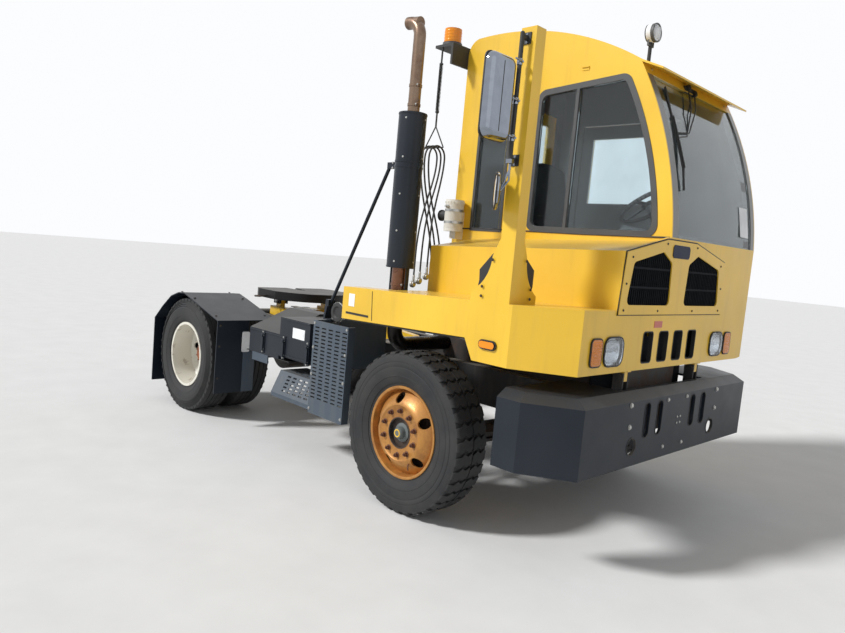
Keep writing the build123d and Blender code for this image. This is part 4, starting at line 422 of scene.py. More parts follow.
def put_tube(shape, points, radius, segments=10, close=True):
    """Round tube that follows the points; radius is one number, or one for each point."""
    points = [Vector(point) for point in points]
    radii = radius if isinstance(radius, list) else [radius] * len(points)
    rings = []
    side = None
    for index, point in enumerate(points):
        before = points[max(index - 1, 0)]
        after = points[min(index + 1, len(points) - 1)]
        ahead = (after - before).normalized()
        if side is None:
            side = ahead.orthogonal().normalized()
        side = (side - ahead * side.dot(ahead)).normalized()
        other = ahead.cross(side)
        turns = [2 * math.pi * step / segments for step in range(segments)]
        rings.append([
            shape.verts.new(point + (side * math.cos(turn) + other * math.sin(turn)) * radii[index])
            for turn in turns
        ])
    bridge(shape, rings)
    if close:
        shape.faces.new(rings[0])
        shape.faces.new(rings[-1])


def put_plate(shape, outline, thick):
    """Flat plate: outline of points in order, pushed along the vector thick."""
    loops = []
    for push in (Vector(), Vector(thick)):
        loops.append([shape.verts.new(Vector(point) + push) for point in outline])
    shape.faces.new(loops[0])
    shape.faces.new(loops[1])
    bridge(shape, loops)


def put_bolts(shape, places, axis, size=11, height=8):
    """Hexagon heads, each on its washer."""
    for place in places:
        put_lathe(shape, [(0, size * 1.25), (2, size * 1.25)], place, axis, 16)
        put_lathe(shape, [(2, size), (height * 0.8, size), (height, size * 0.8)], place, axis, 6)


def rounded(width, height, corner, steps=5):
    """Rounded rectangle round the origin, as (across, up) points."""
    points = []
    for turn, (across, up) in enumerate(((1, 1), (-1, 1), (-1, -1), (1, -1))):
        for step in range(steps + 1):
            angle = math.radians(90 * turn + 90 * step / steps)
            points.append((
                across * (width / 2 - corner) + corner * math.cos(angle),
                up * (height / 2 - corner) + corner * math.sin(angle),
            ))
    return points


def facing(points, place, side=False):
    """Points (across, up) round a place, in a plane that faces along X, or along Y where side."""
    x, y, z = place
    if side:
        return [(x + across, y, z + up) for across, up in points]
    return [(x, y + across, z + up) for across, up in points]


def put_pane(shape, size, place, thick, side=False):
    """Rounded plate; size is its width, height and corner."""
    put_plate(shape, facing(rounded(*size), place, side), (0, thick, 0) if side else (thick, 0, 0))


def put_rim(shape, outer, inner, place, thick, side=False):
    """Rounded ring between two sizes."""
    push = Vector((0, thick, 0) if side else (thick, 0, 0))
    loops = []
    for size, share in ((outer, 0), (outer, 1), (inner, 1), (inner, 0)):
        points = facing(rounded(*size), place, side)
        loops.append([shape.verts.new(Vector(point) + push * share) for point in points])
    bridge(shape, loops + loops[:1])


def cut(shape, cutter):
    """A closed form with another closed form taken out of it."""
    forms = []
    for form in (shape, cutter):
        bmesh.ops.recalc_face_normals(form, faces=form.faces)
        mesh = bpy.data.meshes.new("form")
        form.to_mesh(mesh)
        form.free()
        made = bpy.data.objects.new("form", mesh)
        bpy.context.scene.collection.objects.link(made)
        forms.append(made)
    forms[0].modifiers.new("cut", "BOOLEAN").object = forms[1]
    result = bmesh.new()
    result.from_object(forms[0], bpy.context.evaluated_depsgraph_get())
    for made in forms:
        bpy.data.objects.remove(made)
    return result


def add_piece(name, shape, material, body="cab", bevel=0, sharp=35, stands_for=None):
    """Turn a bmesh into an object, in metres, that rides on a body and may stand in for a node."""
    bmesh.ops.recalc_face_normals(shape, faces=shape.faces)
    mesh = bpy.data.meshes.new(name)
    shape.to_mesh(mesh)
    shape.free()
    mesh.transform(Matrix.Scale(METRES, 4))
    for face in mesh.polygons:
        face.use_smooth = True
    mesh.set_sharp_from_angle(angle=math.radians(sharp))
    mesh.materials.append(M[material])
    piece = bpy.data.objects.new(name, mesh)
    bpy.context.scene.collection.objects.link(piece)
    if bevel:
        edge = piece.modifiers.new("edge", "BEVEL")
        edge.width = bevel * METRES
        edge.segments = 2
        edge.limit_method = "ANGLE"
        edge.angle_limit = math.radians(35)
    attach(piece, body)
    if stands_for:
        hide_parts(stands_for)
    return piece


# Cords

HOSE_ROUTES = {
    "air_hose_supply": [
        (80, 240, 1210), (10, 240, 1210), (-58, 228, 1250), (-86, 206, 1370), (-84, 184, 1500),
        (-78, 156, 1640), (-70, 112, 1790), (-60, 50, 1930), (-54, -8, 2060), (-50, -56, 2200),
        (-50, -80, 2340), (-46, -78, 2456), (-41, 0, 2501), (-36, 78, 2456), (-33, 79, 2340),
        (-32, 48, 2200), (-32, -4, 2050), (-34, -44, 1890), (-36, -60, 1730), (-36, -62, 1600),
        (-36, -62, 1480),
    ],
    "air_hose_service": [
        (80, 280, 1210), (14, 280, 1210), (-50, 268, 1252), (-66, 244, 1372), (-58, 210, 1500),
        (-46, 172, 1640), (-30, 118, 1790), (-18, 54, 1930), (-12, -8, 2060), (-8, -58, 2200),
        (-8, -84, 2340), (-6, -78, 2456), (0, 0, 2501), (6, 78, 2456), (9, 80, 2340), (9, 52, 2200),
        (9, 6, 2050), (8, -26, 1890), (6, -36, 1740), (6, -38, 1620), (6, -38, 1510),
    ],
    "trailer_cable": [
        (80, 320, 1210), (22, 320, 1210), (-38, 308, 1256), (-48, 280, 1376), (-34, 244, 1500),
        (-12, 196, 1640), (10, 132, 1790), (26, 60, 1930), (32, -6, 2060), (34, -54, 2200),
        (35, -80, 2340), (37, -78, 2456), (42, 0, 2501), (47, 78, 2456), (50, 78, 2340), (51, 54, 2200),
        (51, 22, 2050), (52, -2, 1900), (54, -10, 1760), (54, -12, 1650), (54, -12, 1550),
    ],
}


def make_coupling(name, end):
    """Crimped ferrule and the round coupling that hangs from a hose's end."""
    shape = bmesh.new()
    crimps = [(0, 8.5), (4, 10.5), (12, 9.8), (16, 10.8), (24, 9.8), (28, 10.8), (36, 9.8), (40, 11), (52, 11)]
    put_lathe(shape, crimps, end, (0, 0, -1), 20)
    middle = end - UP * 72
    body = [(-16, 12), (-16, 24), (-13, 27.5), (4, 27.5), (7, 20), (12, 20), (16, 17), (16, 8)]
    put_lathe(shape, body, middle, AHEAD, 28)
    put_box(shape, middle + Vector((2, 12, 10)), (12, 26, 12))
    return add_piece("coupling_" + name, shape, "zinc", bevel=1, stands_for="hose_couplings")


def make_cords():
    """Each hose is a NURBS spline through the route of its CAD tube."""
    for name, route in HOSE_ROUTES.items():
        data = bpy.data.curves.new(name + "_line", "CURVE")
        data.dimensions = "3D"
        data.bevel_depth = 0.007
        data.bevel_resolution = 4
        data.resolution_u = 12
        data.use_fill_caps = True
        spline = data.splines.new("NURBS")
        spline.points.add(len(route) - 1)
        places = [HOOK + Vector(step) for step in route]
        for point, place in zip(spline.points, places):
            point.co = (*(place * METRES), 1)
        spline.order_u = 3
        spline.use_endpoint_u = True
        cord = bpy.data.objects.new(name + "_line", data)
        bpy.context.scene.collection.objects.link(cord)
        data.materials.append(M["hose"])
        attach(cord, "cab")
        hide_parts(name)
        make_coupling(name, places[-1])


# Wheels

SIDEWALL = (
    (103.5, 287), (104.5, 305), (112, 319), (115, 318.5), (118, 324), (127, 345), (131.8, 360),
    (134, 360.8), (134.2, 364), (133, 365.2), (135, 374), (138.5, 400), (138.2, 416), (136.4, 418),
    (136.4, 423), (137.6, 425),
)
FRONT_SHOULDER = (
    (137, 446), (136.6, 448), (134.8, 449), (134.5, 454), (136, 455.5), (134.5, 472), (132, 489),
    (128, 500), (121, 504.5), (0, 506),
)
# Chevron lugs: across, top radius, foot radius, start and end as shares of the pitch
LUG_STATIONS = (
    (130, 503.5, 494, 0.14, 0.66), (123.5, 512.5, 498, 0.11, 0.7), (112, 517.5, 502, 0.06, 0.74),
    (94, 518.8, 504, 0.0, 0.76), (70, 519.5, 504.5, 0.22, 1.0), (66, 519.5, 504.5, 0.18, 0.92),
    (40, 519.9, 504.5, 0.0, 0.76), (4.5, 520, 504.5, 0.24, 0.98),
)
RIB_EDGES = (112, 72, 64, 25, 17, 0)
SHOULDER_GROOVES = (446, 462, 478, 492)


def put_lugs(shape, place, count, side):
    """Open-shouldered chevron lugs on one half of a tread."""
    pitch = 2 * math.pi / count
    for index in range(count):
        loops = []
        for across, top, foot, start, end in LUG_STATIONS:
            loop = []
            for share, radius in ((start, foot), (start, top), (end, top), (end, foot)):
                angle = pitch * (index + share * side)
                loop.append(shape.verts.new(
                    place + Vector((radius * math.sin(angle), across * side, radius * math.cos(angle)))
                ))
            loops.append(loop)
        bridge(shape, loops)
        shape.faces.new(loops[0])
        shape.faces.new(loops[-1])


def put_carcass(shape, place, half):
    profile = [(-across, radius) for across, radius in half]
    profile += [(across, radius) for across, radius in reversed(half) if across > 0]
    put_lathe(shape, profile, place, (0, 1, 0), 96, close=False)


def put_lug_tyre(shape, place):
    put_carcass(shape, place, SIDEWALL + FRONT_SHOULDER)
    for side in (-1, 1):
        put_lugs(shape, place, 36, side)


def put_rib_tyre(shape, place):
    """Rear tyre: fine grooves round its shoulder, straight ribs and short notches at the edge."""
    half = list(SIDEWALL)
    for radius in SHOULDER_GROOVES:
        across = 133.5 - (radius - 446) * 0.34
        for drop, lift in ((0, -3.5), (4.5, -1.5), (4.5, 1.5), (0, 3.5)):
            half.append((across - drop, radius + lift))
    half += [(115, 509), (112, 518)]
    for number, across in enumerate(RIB_EDGES[1:]):
        if across == 0:
            half.append((0, 519.7))
        elif number % 2 == 0:
            half += [(across, 519.2), (across - 1, 509)]
        else:
            half += [(across + 1, 509), (across, 519.5)]
    put_carcass(shape, place, half)
    for index in range(48):
        for side in (-1, 1):
            angle = 2 * math.pi * (index + 0.25 * side) / 48
            turn = Matrix.Rotation(angle, 4, "Y")
            centre = place + turn.to_3x3() @ Vector((0, side * 115, 507.5))
            put_box(shape, centre, (20, 10, 14), turn)


# Front wheel: radius and distance out of the disc's face, then distance out and radius round the barrel
DISC_FACE = ((95, 125), (165, 125), (178, 133), (190, 131), (215, 115), (245, 85), (272, 58))
BARREL = (
    (99.5, 296.5), (106, 298.5), (111, 296.5), (112, 290), (108, 280), (90, 275), (60, 271), (20, 260),
    (-40, 255), (-90, 266), (-108, 280), (-112, 290), (-106, 298.5), (-99.5, 296.5), (-99.5, 286),
    (99.5, 286),
)
DISC_SHEET = 12


def make_front_disc(name, body, place, out):
    """Domed disc with five hand holes, its barrel, the drum behind it and the hub."""
    shape, holes, drum, cap, ring = new_shapes(5)
    profile = [(face, radius) for radius, face in DISC_FACE]
    profile += [(face - DISC_SHEET, radius) for radius, face in reversed(DISC_FACE)]
    put_lathe(shape, profile, place, out, 80, loop=True)
    for index in range(5):
        put_lathe(holes, [(30, 34), (180, 34)], around(place, 222, 28 + 72 * index), out, 32)
    shape = cut(shape, holes)
    put_lathe(shape, list(BARREL), place, out, 80, loop=True)
    add_piece(f"rim_front_{name}", shape, "rust_rim", body, stands_for=f"front_{name}_rim")
    put_lathe(drum, [(36, 45), (36, 230), (26, 238), (-60, 238), (-60, 60)], place, out, 48, loop=True)
    put_lathe(drum, [(40, 60), (98, 60), (98, 94), (127, 94), (127, 100.5), (40, 100.5)],
              place, out, 48, loop=True)
    add_piece(f"drum_front_{name}", drum, "cast", body)
    dome = [(90, 62), (103, 60), (106, 52), (108, 41), (122, 38), (135, 36), (142, 31), (144, 22), (144, 0)]
    put_lathe(cap, dome, place, out, 40)
    add_piece(f"cap_front_{name}", cap, "cap", body)
    put_lathe(ring, [(143.5, 26), (146, 25), (146, 19), (143.5, 18)], place, out, 28, loop=True)
    add_piece(f"cap_ring_{name}", ring, "yellow", body)


def put_nuts(shape, place, outward, circle, count, size, height, stud):
    """Wheel nuts on flanged washers round an axle point, each with its stud end."""
    for index in range(count):
        at = around(place, circle, 360 * (index + 0.5) / count)
        for profile, sides in (
            ([(0, size * 1.35), (3, size * 1.35), (5, size * 1.1)], 14),
            ([(5, size), (height, size), (height + 2, size * 0.8)], 6),
            ([(height, size * 0.55), (height + stud, size * 0.5)], 8),
        ):
            put_lathe(shape, profile, at, (0, outward, 0), sides)


def make_wheels():
    for name, side in (("left", 1), ("right", -1)):
        body = f"front_{name}_wheel"
        out = (0, side, 0)
        tyre, nuts, tyres, rear_nuts, hub = new_shapes(5)
        middle = front(0, side * 1063, AXLE_Z)
        put_lug_tyre(tyre, middle)
        add_piece(f"tyre_front_{name}", tyre, "tyre", body, stands_for=f"front_{name}_tyre")
        make_front_disc(name, body, middle, out)
        put_nuts(nuts, front(0, side * 1188, AXLE_Z), side, 143, 10, 13.5, 22, 10)
        stem = around(front(0, side * 1178, AXLE_Z), 198, -60)
        bends = [Vector(), Vector((8, side * 14.001, -14)), Vector((16, side * 18, -40))]
        put_tube(nuts, [stem + bend for bend in bends], 4.5, 8)
        add_piece(f"nuts_front_{name}", nuts, "nut", body)

        body = f"rear_{name}_wheels"
        for y in (1100, 757):
            put_rib_tyre(tyres, rear(0, side * y, AXLE_Z))
        add_piece(f"tyres_rear_{name}", tyres, "tyre", body, stands_for=f"rear_{name}_tyres")
        middle = rear(0, side * 946.5, AXLE_Z)
        put_nuts(rear_nuts, middle, side, 143, 10, 16.5, 26, 14)
        add_piece(f"nuts_rear_{name}", rear_nuts, "nut", body)
        boss = [(0.5, 104), (12, 102), (16, 81.2), (104, 81.2), (114.5, 78), (114.5, 64), (118, 62), (118, 0)]
        put_lathe(hub, boss, middle, out, 40, close=False)
        put_nuts(hub, rear(0, side * 1061, AXLE_Z), side, 71, 8, 6.5, 9, 3)
        add_piece(f"hub_rear_{name}", hub, "hub", body)


# Lamps, grille and front face

LAMP_Z = 1216
SLOT_Z = 1226


def make_lamps():
    """Headlamps and turn lamps in their bezels, and a marker lamp on each side."""
    rims, bowls, amber, glass = new_shapes(4)
    for side in (-1, 1):
        head, turn = side * 687, side * 871
        for y, width, height, corner in ((head, 195, 160, 50), (turn, 104, 150, 25)):
            outer = (width + 12, height + 12, corner + 6)
            put_rim(rims, outer, (width - 2, height - 2, corner), (FACE + 0.5, y, LAMP_Z), 10)
            put_box(rims, (FACE - 82, y, LAMP_Z), (35, width - 10, height - 10))
        loops = []
        for depth, *size in (
            (-1, 190, 155, 46), (-6, 176, 141, 44), (-28, 150, 122, 48),
            (-50, 104, 92, 40), (-60, 40, 40, 18),
        ):
            outline = facing(rounded(*size), (FACE + depth, head, LAMP_Z))
            loops.append([bowls.verts.new(Vector(point)) for point in outline])
        bridge(bowls, loops)
        bowls.faces.new(loops[-1])
        bulb = [(-58, 11), (-34, 11), (-26, 6), (-25, 0)]
        put_lathe(bowls, bulb, (FACE, head, LAMP_Z), AHEAD, 16, close=False)
        put_pane(glass, (189, 154, 45.5), (FACE + 1, head, LAMP_Z), 4)
        for step in range(-4, 5):
            put_box(glass, (FACE + 5.5, head + step * 17, LAMP_Z), (1.2, 6, 118))
        put_pane(amber, (100, 146, 22), (FACE + 4.5, turn, LAMP_Z), 6)
        for step in range(-6, 7):
            put_box(amber, (FACE + 11.5, turn, LAMP_Z + step * 10), (2.4, 90, 5))
    for y, side in ((-1220, -1), (1170, 1)):
        place = front(678, y, 1197)
        put_rim(rims, (126, 54, 26.5), (112, 40, 19.5), place, side * 12, True)
        put_pane(amber, (110, 38, 18.5), place + Vector((0, side * 16.5, 0)), side * 2, True)
    add_piece("lamp_bezels", rims, "lamp_body", bevel=1)
    add_piece("lamp_reflectors", bowls, "reflector")
    add_piece("lamp_glasses", glass, "lens")
    add_piece("amber_lenses", amber, "amber", bevel=1)


def make_grille():
    """Near-black ducts and fins behind the openings, painted shade in them, their edges, and the panel's seal,
    bolts and bare badge.
    """
    shade_duct, edges, bolts, badge, seal, label = new_shapes(6)
    # A near-black box, plate and fins behind the grille: painted shade in its openings.
    put_box(shade_duct, (FACE - 90, 0, SLOT_Z), (10, 860, 240))
    for side in (-1, 1):
        put_box(shade_duct, (FACE - 58, side * 430, SLOT_Z), (64, 6, 240))
        put_box(shade_duct, (FACE - 58, 0, SLOT_Z + side * 120), (64, 860, 6))
    outline = [(-636, 1448), (-612, 1740), (-185, 1838), (185, 1838), (612, 1740), (636, 1448)]
    put_plate(shade_duct, [(FACE - 24, y, z) for y, z in outline], (4, 0, 0))
    top, corner_y, edge_top, edge_y = 1842, 186, 1743, 616
    for index in range(60):
        y = -600 + index * 1200 / 59
        slope = max(0, abs(y) - corner_y) * (top - edge_top) / (edge_y - corner_y)
        high, low = top - slope - 10, 1455
        put_box(shade_duct, (FACE - 14, y, (high + low) / 2), (10, 3, high - low))
    add_piece("grille_shade_ducts", shade_duct, "dark")
    for index in range(4):
        place = (FACE - 24, (index - 1.5) * 197, SLOT_Z)
        put_rim(edges, (127, 194, 24), (115, 182, 18), place, 26)
    add_piece("slot_edges", edges, "seal")
    face = FACE + 8
    spots = ((600, 1752), (205, 1852), (640, 1600), (640, 1450), (235, 1447))
    put_bolts(bolts, [(face, side * y, z) for side in (-1, 1) for y, z in spots], AHEAD, 5.5, 5)
    add_piece("grille_bolts", bolts, "cast")
    outline = [(-100, -40), (100, -40), (115, -24), (115, 24), (100, 40), (-100, 40), (-115, 24), (-115, -24)]
    put_plate(badge, facing(outline, (face, -14, 1812)), (4, 0, 0))
    add_piece("blank_badge", badge, "badge", bevel=1.5)
    border = ((203, 1881), (-203, 1881), (-665, 1781), (-692, 1423), (692, 1423), (665, 1781), (203, 1881))
    put_tube(seal, [(face - 6, y, z) for y, z in border], 4.2, 8)
    add_piece("grille_seal", seal, "seal")
    put_box(label, (FACE + 1, -189, 1363.5), (3, 100, 40))
    add_piece("front_label", label, "red_label")


# Mirrors, wiper and glass fittings

def put_cushion(shape, centre, size, corner, crown):
    """Rounded slab standing in the YZ plane, with its front domed towards +X."""
    x, y, z = centre
    loops = []
    for depth, inset in ((0, 4), (0, 0), (0.35, 0), (0.7, 8), (0.9, 20), (1.0, 38)):
        outline = rounded(size[1] - inset * 2, size[2] - inset * 2, max(corner - inset, 4), 6)
        points = facing(outline, (x + (size[0] + crown) * depth, y, z))
        loops.append([shape.verts.new(Vector(point)) for point in points])
    bridge(shape, loops)
    shape.faces.new(loops[0])
    shape.faces.new(loops[-1])


def make_mirrors():
    """Each side's long mirror, its post with brackets and clamps, and the round mirror below it."""
    chrome, black, glass = new_shapes(3)
    x, high = X_FRONT + 740, 2494
    for side in (-1, 1):
        tube_y, middle = side * 1266, side * 1401
        put_cushion(chrome, (x - 26, middle, high), (40, 212, 430), 52, 10)
        put_box(black, (x + 23.6, middle + side * 10, high), (2, 5, 350))
        put_rim(black, (216, 434, 41, 6), (194, 412, 30, 6), (x - 30, middle, high), 8)
        put_pane(glass, (198, 416, 32, 6), (x - 28.5, middle, high), 3)
        put_rod(black, (x, tube_y, 2180), (x, tube_y, 2850), 12, 16)
        put_rod(black, (x, tube_y, 2850), (x, tube_y, 2856), 12, 16, 6)
        for z in (2310, 2500, 2700):
            clamp = Vector((x, tube_y, z))
            put_lathe(chrome, [(-16, 15.5), (16, 15.5)], clamp, UP, 16)
            reach = [(12, 0, 0), (20, side * 20, 4), (18, side * 55, 4)]
            put_tube(chrome, [clamp + Vector(step) for step in reach], 5.5, 8)
            put_bolts(chrome, [clamp + AHEAD * 14], AHEAD, 7, 10)
        wall = CAB_LEFT if side > 0 else -1220
        for z in (2200, 2830):
            put_box(black, (x, (wall + tube_y) / 2, z), (20, abs(tube_y - wall), 20))
            put_box(black, (x, wall + side * 3, z), (50, 6, 60))
            put_bolts(chrome, [(x, wall + side * 6, z + lift) for lift in (-20, 20)], (0, side, 0), 6, 5)
        outward = Vector((-0.72, side * 0.69, 0)).normalized()
        back = Vector((x - 30, side * 1290, 2030))
        shell = [(-4, 20), (0, 60), (4, 85), (10, 98), (20, 100)]
        put_lathe(chrome, shell, back, outward, 40)
        put_lathe(black, [(18, 100.5), (26, 100.5), (26, 94)], back, outward, 40, close=False)
        put_lathe(glass, [(20, 95), (25, 80), (27.8, 45), (28, 0)], back, outward, 40, close=False)
        for z in (2150, 2090):
            put_tube(chrome, [(x, tube_y, 2184), (x + 10, tube_y + side * 6, z), tuple(back)], 6, 8)
        put_box(chrome, (x, tube_y, 2190), (30, 30, 22))
    for name, shape, material in (
        ("mirror_shells", chrome, "chrome"), ("mirror_tubes", black, "lamp_body"),
        ("mirror_glass", glass, "silver"),
    ):
        add_piece(name, shape, material, stands_for="mirrors")


def make_wiper():
    """Wiper hung from the header, with two arms and its blade upright beside the right pillar."""
    shape = bmesh.new()
    joint, hold = front(985, 212, 2575), front(996, 22, 2540)
    for y, z, shift in ((425, 2935, -14), (530, 2915, 14)):
        start_at, end = front(842, y, z), joint + Vector((0, shift, shift))
        middle = (start_at + end) / 2 + Vector((24, 0, 8))
        put_tube(shape, [start_at, middle, end, hold + Vector((6, 0, shift))], 4.5, 8)
        put_lathe(shape, [(-12, 20), (12, 20), (16, 13)], start_at, (0.95, 0, 0.3), 18)
    put_box(shape, front(822, 478, 2922), (30, 170, 40))
    blade = [front(*point) for point in (
        (868, 56, 2855), (950, 34, 2660), (1030, 18, 2460), (1080, 8, 2330), (1104, 2, 2194),
    )]
    put_tube(shape, blade, 7.5, 8)
    put_tube(shape, [point + Vector((10, 0, 4)) for point in blade[1:4]], 5.5, 8)
    add_piece("wiper", shape, "lamp_body")


def make_beacon():
    """Amber dome on its grey base, and the spring that the hoses hang from."""
    dome, body, spring = new_shapes(3)
    place = Vector((CAB_BACK - 110, -230, 3284))
    profile = [(0, 66.8), (40, 66.8), (60, 66.4), (84, 66.4), (105.5, 66.4), (105.8, 0)]
    put_lathe(dome, profile, place, UP, 40, close=False)
    for lift in (12, 34, 56, 78):
        rib = [(lift, 66.8), (lift + 3, 67.8), (lift + 8, 67.8), (lift + 11, 66.8)]
        put_lathe(dome, rib, place, UP, 40, close=False)
    put_lathe(body, [(-34, 75.5), (-4, 75.5), (1, 71)], place, UP, 36, close=False)
    for angle in (30, 150, 270):
        out = around((0, 0, 0), 1, angle, True)
        put_bolts(body, [place + out * 75.5 - UP * 20], out, 5, 4)
    coils, steps, low, rise = 34, 12, 2760, 340
    coil = []
    for index in range(coils * steps + 1):
        foot = HOOK + UP * (low + rise * index / (coils * steps))
        coil.append(around(foot, 12.5, 360 * index / steps, True))
    put_tube(spring, coil, 3.2, 6)
    for z in (2740, 3100):
        put_lathe(spring, [(0, 8.5), (4, 15), (16, 15), (20, 8.5)], HOOK + UP * z, UP, 20)
    add_piece("hanger_spring", spring, "lamp_body")
    add_piece("beacon_dome", dome, "amber")
    make_work_lamp(body)


def make_work_lamp(body):
    """Round white work lamp on its yoke, which goes in with the beacon's base."""
    white, lens = new_shapes(2)
    lamp = front(720, 75, 3215)
    put_lathe(body, [(20, 58.5), (36, 60.5), (40, 59.5), (40, 52), (34, 51)], lamp, AHEAD, 40, close=False)
    put_lathe(white, [(-32, 18), (-30, 30), (-21, 48), (-12, 58.8), (19, 58.8)], lamp, AHEAD, 40)
    put_lathe(lens, [(35.2, 51.5), (39.5, 36), (41.5, 18), (42, 0)], lamp, AHEAD, 40, close=False)
    for step in range(-4, 5):
        put_box(lens, lamp + Vector((39, step * 10, 0)), (6, 2, 80))
    for y in (42, 108):
        put_box(body, front(720, y, 3160), (12, 4, 50))
    put_box(body, front(720, 75, 3133), (12, 70, 4))
    add_piece("lamp_fittings", body, "grey_trim")
    add_piece("work_lamp_shell", white, "paper")
    add_piece("work_lamp_lens", lens, "white")


def make_cab_trim():
    """Blank sheet and border in the windshield, seams, header screws and the roof's clip."""
    seal, zinc, paper, trim, border = new_shapes(5)
    sheet = ((1130.5, 905, 1975), (1130.5, 1045, 1975), (1094.5, 1045, 2185), (1094.5, 905, 2185))
    put_plate(paper, [front(*point) for point in sheet], (2, 0, 0.3))
    for z in (2945, 2960):
        put_box(seal, front(800, 510, z), (10, 1260, 4))
    put_bolts(zinc, [front(822, y, 2945) for y in (-50, 1070)], (0.9, 0, 0.4), 6, 4)
    put_box(trim, front(398, CAB_RIGHT - 6, 2985), (55, 12, 6))
    put_box(trim, front(398, CAB_RIGHT - 2, 2976), (55, 4, 24))
    seam = ((-670, 1872), (-360, 1884), (500, 1884), (1128, 1892))
    put_tube(seal, [front(x, CAB_RIGHT - 3, z) for x, z in seam], 5, 8)
    edge, inner, outer = ((1128, 1905), (1051, 2350), (824, 2890)), 992, 1092
    for (x0, z0), (x1, z1) in zip(edge, edge[1:]):
        corners = [front(x0, inner, z0), front(x0, outer, z0), front(x1, outer, z1), front(x1, inner, z1)]
        put_plate(border, corners, (-3, 0, 0))
    add_piece("windshield_border", border, "window_seal")
    add_piece("info_sheet", paper, "paper")
    add_piece("cab_seams", seal, "seal")
    add_piece("roof_clip", trim, "yellow", bevel=1)
    add_piece("header_screws", zinc, "zinc")


def make_canister():
    """Filter bowl: ribbed cap, two straps, side port and bracket bolts."""
    body, strap, port = new_shapes(3)
    place = front(-600, CAB_RIGHT - 85, 1845)
    put_lathe(body, [
        (0, 40), (4, 58), (16, 70), (22, 72.2), (205, 72.2), (212, 74), (226, 74),
        (232, 66), (239.8, 40), (239.8, 0),
    ], place, UP, 40, close=False)
    for index in range(20):
        angle = 18 * index
        put_box(body, around(place + UP * 219, 73.5, angle, True), (6, 4, 14),
                Matrix.Rotation(math.radians(angle), 4, "Z"))
    for lift in (60, 150):
        put_lathe(strap, [(lift, 72.6), (lift, 74.2), (lift + 18, 74.2), (lift + 18, 72.6)],
                  place, UP, 40, close=False)
        put_bolts(strap, [place + Vector((40, -63.5, lift + 9))], (0.5, -0.85, 0), 6, 8)
    put_lathe(strap, [(0, 13), (18, 13), (22, 9), (34, 9)], place + Vector((0, -70, 185)), RIGHT, 14)
    port_place = place + UP * 120
    put_lathe(port, [(60, 38), (125, 38), (125, 44), (135, 44), (135, 34), (60, 34)],
              port_place, (-1, 0, 0), 32, loop=True)
    put_lathe(port, [(62, 33.5), (66, 33.5)], port_place, (-1, 0, 0), 32)
    add_piece("canister_port", port, "lamp_body")
    add_piece("canister_shell", body, "beige")
    add_piece("canister_straps", strap, "zinc")


# Exhaust

PIPE_FOOT, PIPE_TOP = 53, 42
SHIELD = 97.2


def make_stack(x, y):
    """Exhaust pipe from the engine's side up through the shield to its bent tip, open at the end."""
    low_bend, top_bend, foot, top, mouth = 110, 100, 1000, 3120, 85
    points = [(x, -330.5, foot), (x, -600, foot)]
    for step in range(9):
        angle = math.radians(90 * step / 8)
        points.append((x, y + low_bend - low_bend * math.sin(angle), foot + low_bend * (1 - math.cos(angle))))
    radii = [PIPE_FOOT] * len(points)
    for z, radius in ((1600, PIPE_FOOT), (2200, 50), (2550, PIPE_TOP), (2900, PIPE_TOP), (top, PIPE_TOP)):
        points.append((x, y, z))
        radii.append(radius)
    for step in range(1, 10):
        angle = math.radians(mouth * step / 9)
        points.append((x - top_bend * (1 - math.cos(angle)), y, top + top_bend * math.sin(angle)))
        radii.append(PIPE_TOP)
    shape = bmesh.new()
    put_tube(shape, points, radii, 32, close=False)
    turn = math.radians(mouth)
    put_lathe(shape, [(0, PIPE_TOP), (30, PIPE_TOP), (30, 38.5), (-90, 38.5), (-90, 0)],
              points[-1], (-math.sin(turn), 0, math.cos(turn)), 32, close=False)
    add_piece("exhaust_pipe", shape, "copper", "chassis", stands_for="exhaust_stack")


def put_band(shape, place, radius, rim, tall, segments):
    """Flat band round an upright pipe."""
    put_lathe(shape, [(0, radius), (0, rim), (tall, rim), (tall, radius)], place, UP, segments, close=False)


def make_exhaust_trim():
    """The shield's screws, rims and bands, and the pipe's clamps."""
    zinc, dark, pipe = new_shapes(3)
    x, y = X_FRONT - 472, -870
    make_stack(x, y)
    for shift in (-78, 78):
        put_box(dark, (x + shift, y, 1462), (10, 30, 190))
    for z in (1590, 1800, 2050, 2300, 2560):
        for angle in (20, 110, 200, 290):
            axis = around((0, 0, 0), 1, angle, True)
            put_bolts(zinc, [around((x, y, z), SHIELD, angle, True)], axis, 5.5, 4)
    for z in (1549, 2592):
        put_band(dark, (x, y, z), SHIELD, 99.8, 9, 48)
    for z, radius in ((1420, PIPE_FOOT), (2650, PIPE_TOP), (2780, PIPE_TOP)):
        put_lathe(pipe, [(0, radius), (1, radius + 3.5), (19, radius + 3.5), (20, radius)],
                  (x, y, z), UP, 36, close=False)
        for shift in (-24, -10):
            put_box(pipe, (x + radius + 6, y + shift, z + 10), (12, 6, 22))
        put_bolts(zinc, [(x + radius + 6, y - 27, z + 10)], RIGHT, 6, 6)
    for z in (2238, 2274):
        put_band(dark, (x, y, z - 7), SHIELD, 100, 14, 48)
        put_bolts(zinc, [(x - 150, y - 14, z)], RIGHT, 7, 6)
    put_bolts(zinc, [front(-1083, -1000, z) for z in (1150, 1200)], (-1, 0, 0), 8, 7)
    add_piece("shield_screws", zinc, "zinc", "chassis")
    add_piece("shield_rims", dark, "black", "chassis")
    add_piece("pipe_clamps", pipe, "copper", "chassis")


# Side boxes, bumper, fenders, coupling and tail

